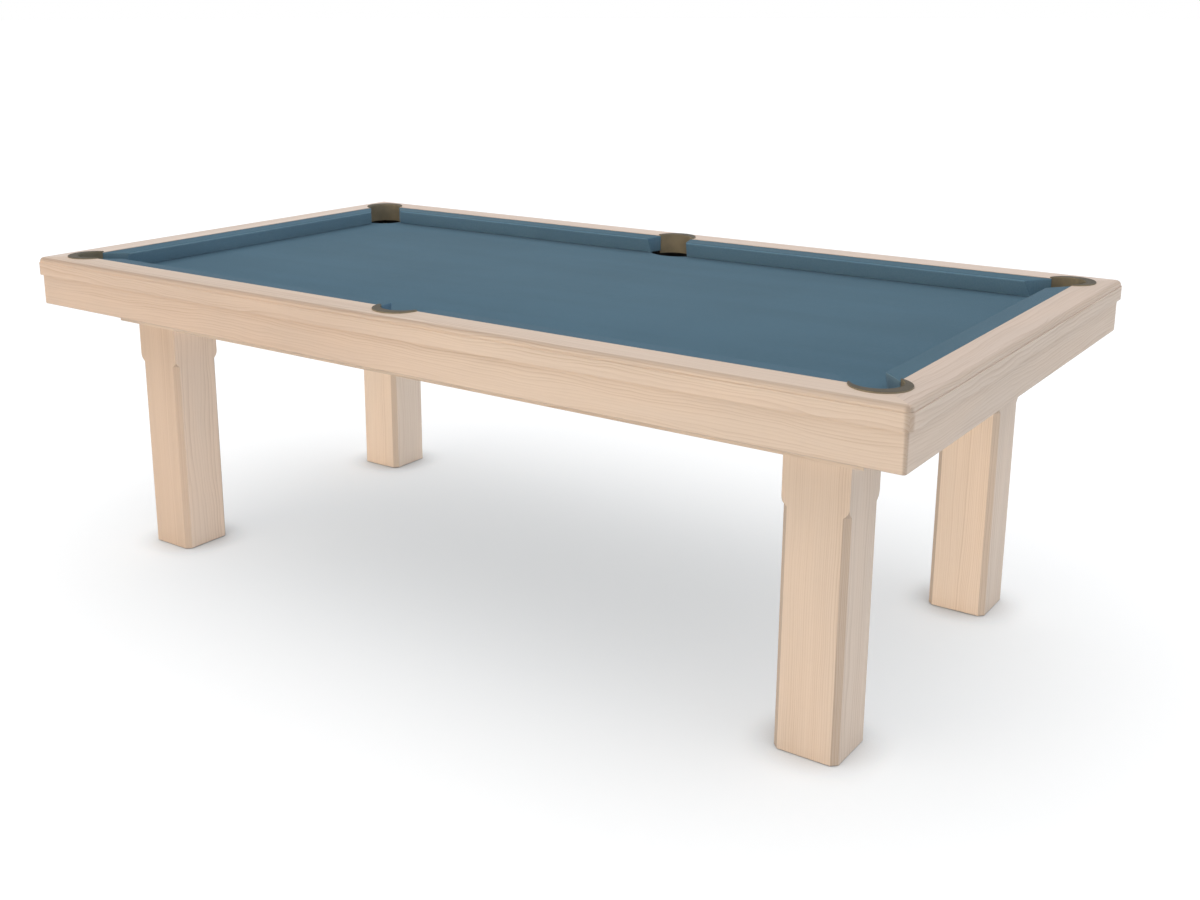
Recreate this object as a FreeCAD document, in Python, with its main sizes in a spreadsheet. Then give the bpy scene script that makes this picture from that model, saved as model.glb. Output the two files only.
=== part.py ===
# Six-pocket pool table on four square legs, with a slate bed, cloth-covered cushions,
# mitred top rails over mitred aprons, pocket liners, catch cups and screw-down feet.
# Lengths are in millimetres. X runs along the table, Y from front to rear, Z up,
# and the origin lies on the floor below the middle of the bed.
import FreeCAD, Part
import math
import os
import Sketcher
from FreeCAD import Placement, Rotation, Vector

SIZES = {
    # playing surface and cushions
    "play_length": 2080,
    "play_width": 1040,
    "cushion_width": 47.5,
    "nose_rise": 36.5,
    "nose_radius": 4,
    "nose_overhang": 12.2,
    "cushion_fall": 1.5,
    "cushion_drop": 1,
    "backing_width": 17,
    "side_mouth": 60,
    "side_throat": 47,
    "corner_mouth": 65,
    "corner_throat": 65,
    # top rails
    "top_height": 782,
    "rail_height": 44,
    "rail_width": 78,
    "rail_corner_radius": 17,
    "ledge_drop": 13,
    "ledge_width": 2.2,
    "top_round": 11,
    # aprons
    "apron_inset": 8,
    "apron_height": 76,
    "apron_board": 24,
    "apron_corner_radius": 8,
    "apron_edge_radius": 3,
    "apron_block_width": 20,
    "apron_block_gap": 2,
    # slate bed and cloth
    "cloth_thickness": 1,
    "slate_thickness": 22,
    "slate_rim": 37.5,
    "slate_seam": 375,
    "slate_hole_radius": 60,
    "slate_hole_inset": 27.5,
    "notch_radius": 80,
    "notch_offset": 19.5,
    # frame under the slate
    "beam_height": 107,
    "beam_width": 50,
    "frame_inset_x": 134.5,
    "frame_inset_y": 140.5,
    "cross_beam_width": 80,
    "cross_beam_height": 90,
    "frame_notch_height": 71,
    "frame_notch_gap": 3,
    "corner_block_length": 161,
    "corner_block_width": 155,
    "corner_block_height": 60,
    # legs
    "leg_width": 136,
    "leg_inset_x": 237.5,
    "leg_inset_y": 238.5,
    "leg_chamfer": 12,
    "leg_chamfer_top": 500,
    "leg_chamfer_end": 520,
    "leg_bolt_spacing": 50,
    # pocket liners
    "flange_radius": 55,
    "flange_height": 3,
    "flange_round": 1.4,
    "liner_radius": 51.5,
    "liner_clearance": 0.5,
    "liner_drop": 5,
    "liner_skirt": 3,
    "liner_hole_round": 1.5,
    "corner_liner_inset": 16.3,
    "corner_hole_radius": 46,
    "corner_hole_inset": 26.6,
    "side_liner_inset": 0.5,
    "side_hole_radius": 51,
    "side_hole_inset": 20,
    # catch cups under the pockets
    "cup_radius": 58,
    "cup_wall": 3,
    "cup_depth": 62,
    "cup_round": 9,
    "side_cup_length": 150,
    "side_cup_width": 104,
    "side_cup_gap": 1.5,
    "side_cup_corner": 46,
    "ear_length": 20,
    "ear_width": 22,
    # screw-down feet
    "foot_radius": 35,
    "foot_height": 10,
    "foot_stand_off": 2,
    "foot_edge": 1.2,
    "foot_recess_radius": 38,
    "foot_socket_depth": 4,
    "stem_radius": 8,
    "stem_top": 87,
    "stem_nut_across": 24,
    "stem_nut_height": 6,
    "nut_recess_radius": 15,
    "foot_insert_radius": 12,
    "foot_insert_length": 30,
    "stem_bore_top": 97,
    # bolts, washers, screws and brackets
    "leg_bolt_radius": 6,
    "leg_bolt_across": 18,
    "leg_bolt_head": 7.5,
    "leg_insert_radius": 9,
    "leg_insert_length": 30,
    "washer_radius": 15,
    "washer_thickness": 2.5,
    "rail_bolt_radius": 5,
    "rail_bolt_across": 16,
    "rail_bolt_head": 8,
    "rail_bolt_flange": 12,
    "rail_bolt_flange_height": 2,
    "rail_bolt_grip": 28,
    "rail_bolt_edge": 15,
    "slate_screw_radius": 3,
    "slate_screw_length": 60,
    "slate_screw_head_radius": 5.5,
    "slate_screw_head": 4,
    "slate_screw_sink": 5,
    "small_screw_radius": 2.2,
    "small_screw_length": 14,
    "small_screw_head_radius": 4.2,
    "small_screw_head": 2.4,
    "bracket_width": 44,
    "bracket_height": 36,
    "bracket_thickness": 3,
    "bracket_screw_spacing": 22,
    # clearances and cutting overrun
    "fit_clearance": 0.2,
    "seat_clearance": 0.3,
    "overrun": 5,
}

# Places along the table, as shares of half the playing length or half its width.
LONG_RAIL_BOLT_SHARES = (0.168, 0.538, 0.827)
END_RAIL_BOLT_SHARES = (0.288, 0.673)
LONG_BRACKET_SHARES = (0.26, 0.73)
END_BRACKET_SHARES = (0.4,)
SLATE_SCREW_EDGE_SHARES = (0.15, 0.335, 0.387, 0.673, 0.9)
SLATE_SCREW_CENTRE_SHARE = 0.35

# Heights of the layers, from the top down.
TOP = "Sizes.top_height"
LEDGE = f"({TOP} - Sizes.ledge_drop)"
SLATE_TOP = f"({TOP} - Sizes.rail_height)"
BED = f"({SLATE_TOP} + Sizes.cloth_thickness)"
SLATE_BOTTOM = f"({SLATE_TOP} - Sizes.slate_thickness)"
APRON_BOTTOM = f"({SLATE_TOP} - Sizes.apron_height)"
FRAME_BOTTOM = f"({SLATE_BOTTOM} - Sizes.beam_height)"

# Half sizes in plan, from the inside out.
WOOD_X = "(Sizes.play_length / 2 + Sizes.cushion_width)"
WOOD_Y = "(Sizes.play_width / 2 + Sizes.cushion_width)"
RAIL_X = f"({WOOD_X} + Sizes.rail_width)"
RAIL_Y = f"({WOOD_Y} + Sizes.rail_width)"
APRON_X = f"({RAIL_X} - Sizes.apron_inset)"
APRON_Y = f"({RAIL_Y} - Sizes.apron_inset)"
APRON_IN_X = f"({APRON_X} - Sizes.apron_board)"
APRON_IN_Y = f"({APRON_Y} - Sizes.apron_board)"
SLATE_X = f"({WOOD_X} + Sizes.slate_rim)"
SLATE_Y = f"({WOOD_Y} + Sizes.slate_rim)"
FRAME_X = f"({RAIL_X} - Sizes.frame_inset_x)"
FRAME_Y = f"({RAIL_Y} - Sizes.frame_inset_y)"
BEAM_IN_X = f"({FRAME_X} - Sizes.beam_width)"
BEAM_IN_Y = f"({FRAME_Y} - Sizes.beam_width)"
HOLE_X = f"({WOOD_X} - Sizes.slate_hole_inset)"
HOLE_Y = f"({WOOD_Y} - Sizes.slate_hole_inset)"
NOTCH_Y = f"({WOOD_Y} + Sizes.notch_offset)"
CORNER_LINER_X = f"({WOOD_X} - Sizes.corner_liner_inset)"
CORNER_LINER_Y = f"({WOOD_Y} - Sizes.corner_liner_inset)"
SIDE_LINER_Y = f"({WOOD_Y} - Sizes.side_liner_inset)"
LINER_CUT = "(Sizes.liner_radius + Sizes.liner_clearance)"
LEG_X = f"({RAIL_X} - Sizes.leg_inset_x)"
LEG_Y = f"({RAIL_Y} - Sizes.leg_inset_y)"

SIDES = {"front": (0, -1), "rear": (0, 1), "left": (-1, 0), "right": (1, 0)}
CORNERS = {
    "front_left": (-1, -1),
    "front_right": (1, -1),
    "rear_left": (-1, 1),
    "rear_right": (1, 1),
}

document = FreeCAD.newDocument("PoolTable")
sheet = document.addObject("Spreadsheet::Sheet", "Sizes")
subparts = []


def fill_sheet():
    """One row for each named size: its name, and its value with that name as alias."""
    for row, (alias, number) in enumerate(SIZES.items(), 1):
        sheet.set(f"A{row}", alias)
        sheet.set(f"B{row}", str(number))
        sheet.setAlias(f"B{row}", alias)
    document.recompute()


def value(text):
    """The number that an expression in the sheet's sizes gives now."""
    return float(sheet.evalExpression(text))


def new_body(name):
    """An empty body that becomes the sub-part of that name."""
    body = document.addObject("PartDesign::Body", name)
    body.Label = name
    subparts.append(body)
    return body


def put(body, x, y, turn=0):
    """Places a body at expressions x and y, turned about Z by some degrees."""
    body.Placement = Placement(Vector(value(x), value(y), 0), Rotation(Vector(0, 0, 1), turn))
    body.setExpression("Placement.Base.x", x)
    body.setExpression("Placement.Base.y", y)


def origin_item(body, role):
    """A plane or axis of the body's own origin."""
    return next(item for item in body.Origin.OriginFeatures if item.Role == role)


def new_sketch(body, name, plane, offset, turn=0):
    """A sketch parallel to an origin plane, moved along its normal by an expression."""
    sketch = body.newObject("Sketcher::SketchObject", f"{body.Name}_{name}_sketch")
    sketch.AttachmentSupport = (origin_item(body, plane), "")
    sketch.MapMode = "FlatFace"
    sketch.AttachmentOffset = Placement(Vector(0, 0, 0), Rotation(Vector(0, 1, 0), turn))
    sketch.setExpression("AttachmentOffset.Base.z", offset)
    return sketch


def bind(sketch, constraint, text):
    """Adds a constraint whose value follows an expression."""
    index = sketch.addConstraint(constraint)
    label = f"size{index}"
    sketch.renameConstraint(index, label)
    sketch.setExpression(f"Constraints.{label}", text)


def pin_point(sketch, geometry, end, x, y):
    """Holds one point of the sketch at expressions x and y."""
    for kind, text in (("DistanceX", x), ("DistanceY", y)):
        bind(sketch, Sketcher.Constraint(kind, -1, 1, geometry, end, value(text)), text)


def draw_circle(sketch, x, y, radius):
    """A circle with its centre and radius given as expressions."""
    centre = Vector(value(x), value(y), 0)
    circle = Part.Circle(centre, Vector(0, 0, 1), value(radius))
    geometry = sketch.addGeometry(circle, False)
    pin_point(sketch, geometry, 3, x, y)
    bind(sketch, Sketcher.Constraint("Radius", geometry, value(radius)), radius)


def arc_between(start, end, radius, side):
    """A short arc from start to end that bulges to the left (1) or the right (-1)."""
    chord = end - start
    left = Vector(-chord.y, chord.x, 0).normalize() * side
    rise = math.sqrt(max(radius ** 2 - chord.Length ** 2 / 4, 0))
    return Part.Arc(start, (start + end) / 2 + left * (radius - rise), end)


def draw_loop(sketch, points, arcs=None):
    """A closed outline through points given as expressions.

    arcs maps the index of a point to the (radius, side) of the arc that leaves it.
    """
    arcs = arcs or {}
    corners = [Vector(value(x), value(y), 0) for x, y in points]
    ends = []
    for index, start in enumerate(corners):
        finish = corners[(index + 1) % len(corners)]
        if index in arcs:
            radius, side = arcs[index]
            curve = arc_between(start, finish, value(radius), side)
        else:
            curve = Part.LineSegment(start, finish)
        geometry = sketch.addGeometry(curve, False)
        order = sorted((1, 2), key=lambda end: (sketch.getPoint(geometry, end) - start).Length)
        ends.append((geometry, *order))
    for index, (geometry, first, last) in enumerate(ends):
        following, its_first, its_last = ends[(index + 1) % len(ends)]
        sketch.addConstraint(Sketcher.Constraint("Coincident", geometry, last, following, its_first))
        pin_point(sketch, geometry, first, *points[index])
        if index in arcs:
            radius = arcs[index][0]
            bind(sketch, Sketcher.Constraint("Radius", geometry, value(radius)), radius)


def draw(sketch, loops):
    """Draws each loop: a circle (x, y, radius), or a dict of points and arcs."""
    for loop in loops:
        if isinstance(loop, dict):
            draw_loop(sketch, loop["points"], loop.get("arcs"))
        else:
            draw_circle(sketch, *loop)


def add(body, name, loops, low, high, plane="XY_Plane"):
    """Adds the loops' area between two levels along the plane's axis."""
    offset = f"-{high}" if plane == "XZ_Plane" else low
    sketch = new_sketch(body, name, plane, offset)
    draw(sketch, loops)
    feature = body.newObject("PartDesign::Pad", f"{body.Name}_{name}")
    feature.Profile = sketch
    feature.setExpression("Length", f"{high} - {low}")
    return feature


def cut(body, name, loops, low, high, plane="XY_Plane"):
    """Cuts the loops' area away between two levels along the plane's axis."""
    offset = f"-{low}" if plane == "XZ_Plane" else high
    sketch = new_sketch(body, name, plane, offset)
    draw(sketch, loops)
    return finish_cut(body, name, sketch, f"{high} - {low}")


def finish_cut(body, name, sketch, length, both_ways=False):
    """Cuts a sketch's area out of the body and checks that the volume went down."""
    document.recompute()
    before = body.Shape.Volume
    feature = body.newObject("PartDesign::Pocket", f"{body.Name}_{name}")
    feature.Profile = sketch
    if both_ways:
        feature.SideType = "Symmetric"
    feature.setExpression("Length", length)
    document.recompute()
    if not body.Shape.Volume < before:
        raise RuntimeError(f"{body.Name}: the cut {name} removes nothing")
    return feature


def round_edges(body, name, radius, chosen):
    """Rounds the edges that the test chooses."""
    document.recompute()
    base = body.Tip
    edges = [f"Edge{number}" for number, edge in enumerate(base.Shape.Edges, 1) if chosen(edge)]
    feature = body.newObject("PartDesign::Fillet", f"{body.Name}_{name}")
    feature.Base = (base, edges)
    feature.setExpression("Radius", radius)
    return feature


def mirror(body, name, plane):
    """Adds the mirror image of the whole body in one of its origin planes."""
    feature = body.newObject("PartDesign::Mirrored", f"{body.Name}_{name}")
    feature.MirrorPlane = (origin_item(body, plane), [""])
    feature.TransformMode = "Whole shape"
    body.Tip = feature
    document.recompute()


def mirror_to_all_quarters(body):
    """Repeats what was made in the rear right quarter in the other three."""
    mirror(body, "across", "YZ_Plane")
    mirror(body, "along", "XZ_Plane")


def box(x0, y0, x1, y1):
    """A rectangle between two corners."""
    return {"points": [(x0, y0), (x1, y0), (x1, y1), (x0, y1)]}


def rounded_box(half_x, half_y, radius):
    """A rectangle about the origin with rounded corners."""
    flat_x = f"({half_x} - {radius})"
    flat_y = f"({half_y} - {radius})"
    points = [
        (f"-{flat_x}", f"-{half_y}"),
        (flat_x, f"-{half_y}"),
        (half_x, f"-{flat_y}"),
        (half_x, flat_y),
        (flat_x, half_y),
        (f"-{flat_x}", half_y),
        (f"-{half_x}", flat_y),
        (f"-{half_x}", f"-{flat_y}"),
    ]
    return {"points": points, "arcs": {index: (radius, -1) for index in (1, 3, 5, 7)}}


def hexagon(x, y, across):
    """A hexagon around a centre, by its width across the flats."""
    corner = f"{across} / sqrt(3)"
    points = [(f"{x} + {corner} * cos({60 * k})", f"{y} + {corner} * sin({60 * k})") for k in range(6)]
    return {"points": points}


def lies_at(edge, height):
    """Whether an edge lies in the level plane of that height."""
    middle = (edge.BoundBox.ZMin + edge.BoundBox.ZMax) / 2
    slack = value("Sizes.overrun") * 1e-3
    return edge.BoundBox.ZLength < slack and abs(middle - height) < slack


def is_arc(edge, radius):
    """Whether an edge is an arc or circle of that radius."""
    slack = value("Sizes.overrun") * 1e-3
    return isinstance(edge.Curve, Part.Circle) and abs(edge.Curve.Radius - radius) < slack


def keep_side(body, side, outer_x, outer_y, inner_x, inner_y, low, high):
    """Cuts a ring-shaped body down to its board on one side, mitred at both ends."""
    far_x = f"({outer_x} + 2 * Sizes.overrun)"
    far_y = f"({outer_y} + 2 * Sizes.overrun)"
    near_x = f"({outer_x} + Sizes.overrun)"
    near_y = f"({outer_y} + Sizes.overrun)"
    along_x, along_y = SIDES[side]
    if along_x:
        sign = along_x
        board = [(near_x, -1), (near_x, 1), (inner_x, 1), (inner_x, -1)]
        ends = [near_y, near_y, inner_y, inner_y]
        points = [(f"{sign} * {x}", f"{end} * {y}") for (x, end), y in zip(board, ends)]
    else:
        sign = along_y
        board = [(near_y, -1), (near_y, 1), (inner_y, 1), (inner_y, -1)]
        ends = [near_x, near_x, inner_x, inner_x]
        points = [(f"{end} * {x}", f"{sign} * {y}") for (y, end), x in zip(board, ends)]
    around = box(f"-{far_x}", f"-{far_y}", far_x, far_y)
    cut(body, "mitres", [around, {"points": points}], low, high)


def rail_bolt_places():
    """Bolts of the rear right quarter, on a line just inside the slate's rim."""
    along_y = f"({SLATE_Y} - Sizes.rail_bolt_edge)"
    along_x = f"({SLATE_X} - Sizes.rail_bolt_edge)"
    places = [(f"({share} * {WOOD_X})", along_y) for share in LONG_RAIL_BOLT_SHARES]
    places += [(along_x, f"({share} * {WOOD_Y})") for share in END_RAIL_BOLT_SHARES]
    return places


def slate_screw_places():
    """Slate screws of the rear right quarter, over the middle of the beams."""
    edge_y = f"({FRAME_Y} - Sizes.beam_width / 2)"
    end_x = f"({FRAME_X} - Sizes.beam_width / 2)"
    centre_y = f"({SLATE_SCREW_CENTRE_SHARE} * {WOOD_Y})"
    places = [(f"({share} * {WOOD_X})", edge_y) for share in SLATE_SCREW_EDGE_SHARES]
    quarter = "Sizes.cross_beam_width / 4"
    places += [(f"(Sizes.slate_seam - {quarter})", centre_y)]
    places += [(f"(Sizes.slate_seam + {quarter})", centre_y)]
    places += [(end_x, centre_y)]
    return places


def all_quarters(places):
    """The places of the rear right quarter, repeated in all four."""
    return [(f"{sx} * {x}", f"{sy} * {y}") for sx, sy in CORNERS.values() for x, y in places]


def between(places, low_x, high_x, low_y, high_y):
    """Those places that lie inside a rectangle given by expressions."""
    x0, x1, y0, y1 = value(low_x), value(high_x), value(low_y), value(high_y)
    return [(x, y) for x, y in places if x0 < value(x) < x1 and y0 < value(y) < y1]


def make_rail(side):
    """A top rail: skirt, narrow ledge, quarter-round edge, and notches for the liners."""
    body = new_body(f"rail_{side}")
    cap_x = f"({RAIL_X} - Sizes.ledge_width)"
    cap_y = f"({RAIL_Y} - Sizes.ledge_width)"
    radius = "Sizes.rail_corner_radius"
    add(body, "skirt", [rounded_box(RAIL_X, RAIL_Y, radius)], SLATE_TOP, LEDGE)
    cap = rounded_box(cap_x, cap_y, f"({radius} - Sizes.ledge_width)")
    add(body, "cap", [cap], LEDGE, TOP)
    round_edges(body, "top_edge", "Sizes.top_round", lambda edge: lies_at(edge, value(TOP)))
    low = f"({SLATE_TOP} - Sizes.overrun)"
    high = f"({TOP} + Sizes.overrun)"
    keep_side(body, side, RAIL_X, RAIL_Y, WOOD_X, WOOD_Y, low, high)
    along_x, along_y = SIDES[side]
    pockets = [
        (f"{sx} * {CORNER_LINER_X}", f"{sy} * {CORNER_LINER_Y}", LINER_CUT)
        for sx, sy in CORNERS.values()
        if along_x in (0, sx) and along_y in (0, sy)
    ]
    if along_y:
        pockets.append(("0", f"{along_y} * {SIDE_LINER_Y}", LINER_CUT))
    cut(body, "pockets", pockets, low, high)
    bolts = [
        (x, y, "Sizes.rail_bolt_radius + Sizes.fit_clearance")
        for x, y in side_bolts(side)
    ]
    cut(body, "bolt_bores", bolts, low, f"({SLATE_TOP} + Sizes.rail_bolt_grip + Sizes.seat_clearance)")


def side_bolts(side):
    """The rail bolts that hold one side's rail."""
    along_x, along_y = SIDES[side]
    places = rail_bolt_places()
    count = len(LONG_RAIL_BOLT_SHARES)
    if along_y:
        return [(f"{sign} * {x}", f"{along_y} * {y}") for sign in (-1, 1) for x, y in places[:count]]
    return [(f"{along_x} * {x}", f"{sign} * {y}") for sign in (-1, 1) for x, y in places[count:]]


def make_apron(side):
    """A mitred apron board with eased corners and a rounded lower edge."""
    body = new_body(f"apron_{side}")
    board = rounded_box(APRON_X, APRON_Y, "Sizes.apron_corner_radius")
    add(body, "board", [board], APRON_BOTTOM, SLATE_TOP)
    bottom = value(APRON_BOTTOM)
    round_edges(body, "lower_edge", "Sizes.apron_edge_radius", lambda edge: lies_at(edge, bottom))
    low = f"({APRON_BOTTOM} - Sizes.overrun)"
    high = f"({SLATE_TOP} + Sizes.overrun)"
    keep_side(body, side, APRON_X, APRON_Y, APRON_IN_X, APRON_IN_Y, low, high)
    drill_apron_for_brackets(body, side)


def bracket_places(side):
    """The middles of one side's brackets, along that side."""
    shares, half = (LONG_BRACKET_SHARES, WOOD_X) if SIDES[side][1] else (END_BRACKET_SHARES, WOOD_Y)
    return [f"({sign * share} * {half})" for sign in (-1, 1) for share in shares]


def bracket_screw_height():
    """The height of the bracket screws, at the middle of the flanges."""
    return f"({APRON_BOTTOM} + Sizes.apron_block_gap + Sizes.bracket_height / 2)"


def bracket_screw_centres(side):
    """The places of one side's bracket screws, along that side."""
    half = "Sizes.bracket_screw_spacing / 2"
    return [f"({place} + {sign} * {half})" for place in bracket_places(side) for sign in (-1, 1)]


def span(sign, low, high):
    """Two levels on the positive side, moved to the side of the sign, lowest first."""
    return (low, high) if sign > 0 else (f"(-1 * {high})", f"(-1 * {low})")


def drill(body, name, side, centres, radius, low, high):
    """Drills level bores square to one side, between two distances from the middle."""
    along_x, along_y = SIDES[side]
    plane = "XZ_Plane" if along_y else "YZ_Plane"
    first, last = span(along_x + along_y, low, high)
    circles = [(centre, bracket_screw_height(), radius) for centre in centres]
    cut(body, name, circles, first, last, plane)


def drill_apron_for_brackets(body, side):
    """Pilot bores for the bracket screws in the apron's inner face."""
    inner = APRON_IN_Y if SIDES[side][1] else APRON_IN_X
    low = f"({inner} - Sizes.overrun)"
    high = f"({inner} + Sizes.small_screw_length - Sizes.bracket_thickness + Sizes.seat_clearance)"
    radius = "Sizes.small_screw_radius + Sizes.fit_clearance"
    drill(body, "pilot_bores", side, bracket_screw_centres(side), radius, low, high)


def make_apron_blocks():
    """Glue blocks in the four inner corners of the aprons."""
    body = new_body("apron_corner_blocks")
    low = f"({APRON_BOTTOM} + Sizes.apron_block_gap)"
    high = f"({SLATE_BOTTOM} - Sizes.seat_clearance)"
    width = "Sizes.apron_block_width"
    block = box(f"{APRON_IN_X} - {width}", f"{APRON_IN_Y} - {width}", APRON_IN_X, APRON_IN_Y)
    add(body, "block", [block], low, high)
    mirror_to_all_quarters(body)


def corner_opening(sx, sy):
    """The corner hole of the slate: round towards the table, open to the outside."""
    radius = "Sizes.slate_hole_radius"
    far_x = f"({SLATE_X} + Sizes.overrun)"
    far_y = f"({SLATE_Y} + Sizes.overrun)"
    points = [
        (f"{HOLE_X} - {radius}", HOLE_Y),
        (HOLE_X, f"{HOLE_Y} - {radius}"),
        (far_x, f"{HOLE_Y} - {radius}"),
        (far_x, far_y),
        (f"{HOLE_X} - {radius}", far_y),
    ]
    signed = [(f"{sx} * ({x})", f"{sy} * ({y})") for x, y in points]
    return {"points": signed, "arcs": {0: (radius, -sx * sy)}}


def make_slate(name, low_x, high_x, corners, notches):
    """One slate, with its share of the pocket openings and the screw and bolt bores."""
    body = new_body(name)
    add(body, "plate", [box(low_x, f"-{SLATE_Y}", high_x, SLATE_Y)], SLATE_BOTTOM, SLATE_TOP)
    low = f"({SLATE_BOTTOM} - Sizes.overrun)"
    high = f"({SLATE_TOP} + Sizes.overrun)"
    for number, (sx, sy) in enumerate(corners):
        cut(body, f"corner_{number}", [corner_opening(sx, sy)], low, high)
    if notches:
        circles = [("0", f"{sign} * {NOTCH_Y}", "Sizes.notch_radius") for sign in notches]
        cut(body, "notches", circles, low, high)
    area = (low_x, high_x, f"-{SLATE_Y}", SLATE_Y)
    bolts = between(all_quarters(rail_bolt_places()), *area)
    bolt_bore = "Sizes.rail_bolt_radius + Sizes.fit_clearance"
    cut(body, "bolt_bores", [(x, y, bolt_bore) for x, y in bolts], low, high)
    screws = between(all_quarters(slate_screw_places()), *area)
    screw_bore = "Sizes.slate_screw_radius + Sizes.fit_clearance"
    cut(body, "screw_bores", [(x, y, screw_bore) for x, y in screws], low, high)
    sink = "Sizes.slate_screw_head_radius + Sizes.fit_clearance"
    sunk = f"({SLATE_TOP} - Sizes.slate_screw_sink)"
    cut(body, "screw_sinks", [(x, y, sink) for x, y in screws], sunk, high)
    cups = between(cup_screw_places(), *area)
    cup_bore = "Sizes.small_screw_radius + Sizes.fit_clearance"
    cup_top = f"({SLATE_BOTTOM} + Sizes.small_screw_length - Sizes.cup_wall + Sizes.seat_clearance)"
    cut(body, "cup_bores", [(x, y, cup_bore) for x, y in cups], low, cup_top)


def make_slates():
    """Three slates that meet over the cross beams."""
    seam = "Sizes.slate_seam"
    left = [pair for pair in CORNERS.values() if pair[0] < 0]
    right = [pair for pair in CORNERS.values() if pair[0] > 0]
    make_slate("slate_left", f"-{SLATE_X}", f"-{seam}", left, ())
    make_slate("slate_middle", f"-{seam}", seam, [], (-1, 1))
    make_slate("slate_right", seam, SLATE_X, right, ())


def make_cloth():
    """The bed cloth, inside the rails and cut away at the six pockets."""
    body = new_body("bed_cloth")
    half_x = f"({WOOD_X} - Sizes.seat_clearance)"
    half_y = f"({WOOD_Y} - Sizes.seat_clearance)"
    add(body, "sheet", [box(f"-{half_x}", f"-{half_y}", half_x, half_y)], SLATE_TOP, BED)
    low = f"({SLATE_TOP} - Sizes.overrun)"
    high = f"({BED} + Sizes.overrun)"
    for name, (sx, sy) in CORNERS.items():
        cut(body, name, [(f"{sx} * {HOLE_X}", f"{sy} * {HOLE_Y}", "Sizes.slate_hole_radius")], low, high)
    for sign in (-1, 1):
        side = "front" if sign < 0 else "rear"
        cut(body, side, [("0", f"{sign} * {NOTCH_Y}", "Sizes.notch_radius")], low, high)


def throat_points(mouth, throat, depth):
    """How far a jaw stands from its pocket at some depth in from the wood."""
    return f"({throat} + ({mouth} - {throat}) * {depth} / Sizes.cushion_width)"


def cushion_profile():
    """The section of a cushion: in from the wood is positive, heights are absolute."""
    back = "(Sizes.backing_width + Sizes.seat_clearance)"
    base = f"({BED} + Sizes.seat_clearance)"
    width = "Sizes.cushion_width"
    nose = f"({BED} + Sizes.nose_rise)"
    radius = "Sizes.nose_radius"
    top = f"({TOP} - Sizes.cushion_drop)"
    points = [
        (back, base),
        (f"{width} - Sizes.nose_overhang", base),
        (f"{width} - {radius}", f"{nose} - {radius}"),
        (width, nose),
        (f"{width} - {radius}", f"{nose} + {radius}"),
        (back, f"{top} - Sizes.cushion_fall * {back} / {width}"),
    ]
    return {"points": points, "arcs": {2: (radius, -1), 3: (radius, -1)}}


def make_cushion(name, side, start, end):
    """A cushion between two jaws.

    start and end give each jaw: its place along the rail at the wood and at the nose.
    """
    along_x, along_y = SIDES[side]
    body = new_body(name)
    first = f"({start[0]} - Sizes.overrun)"
    last = f"({end[0]} + Sizes.overrun)"
    add(body, "length", [cushion_profile()], first, last, "YZ_Plane")
    far = "(Sizes.cushion_width + Sizes.overrun)"
    slope_start = f"(({start[1]} - {start[0]}) / Sizes.cushion_width)"
    slope_end = f"(({end[1]} - {end[0]}) / Sizes.cushion_width)"
    points = [
        (f"{start[0]} - {slope_start} * Sizes.overrun", "-Sizes.overrun"),
        (f"{end[0]} - {slope_end} * Sizes.overrun", "-Sizes.overrun"),
        (f"{end[0]} + {slope_end} * {far}", far),
        (f"{start[0]} + {slope_start} * {far}", far),
    ]
    left, right = f"{first} - Sizes.rail_width", f"{last} + Sizes.rail_width"
    around = box(left, "-2 * Sizes.overrun", right, f"2 * {far}")
    low = f"({BED} - Sizes.overrun)"
    high = f"({TOP} + Sizes.overrun)"
    cut(body, "jaws", [around, {"points": points}], low, high)
    turn = {"front": 0, "right": 90, "rear": 180, "left": -90}[side]
    put(body, f"{along_x} * {WOOD_X}", f"{along_y} * {WOOD_Y}", turn)


def make_cushions():
    """Four half-length cushions on the long sides and one at each end."""
    half_play_x = "(Sizes.play_length / 2)"
    half_play_y = "(Sizes.play_width / 2)"
    side_jaw = ("Sizes.side_throat", "Sizes.side_mouth")
    long_jaw = (f"({WOOD_X} - Sizes.corner_throat)", f"({half_play_x} - Sizes.corner_mouth)")
    end_jaw = (f"({WOOD_Y} - Sizes.corner_throat)", f"({half_play_y} - Sizes.corner_mouth)")
    for side, names in (("front", ("left", "right")), ("rear", ("right", "left"))):
        for sign, half in zip((-1, 1), names):
            inner = tuple(f"({sign} * {place})" for place in side_jaw)
            outer = tuple(f"({sign} * {place})" for place in long_jaw)
            start, end = (outer, inner) if sign < 0 else (inner, outer)
            make_cushion(f"cushion_{side}_{half}", side, start, end)
    for side in ("left", "right"):
        start = tuple(f"(-1 * {place})" for place in end_jaw)
        make_cushion(f"cushion_{side}", side, start, end_jaw)


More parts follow.
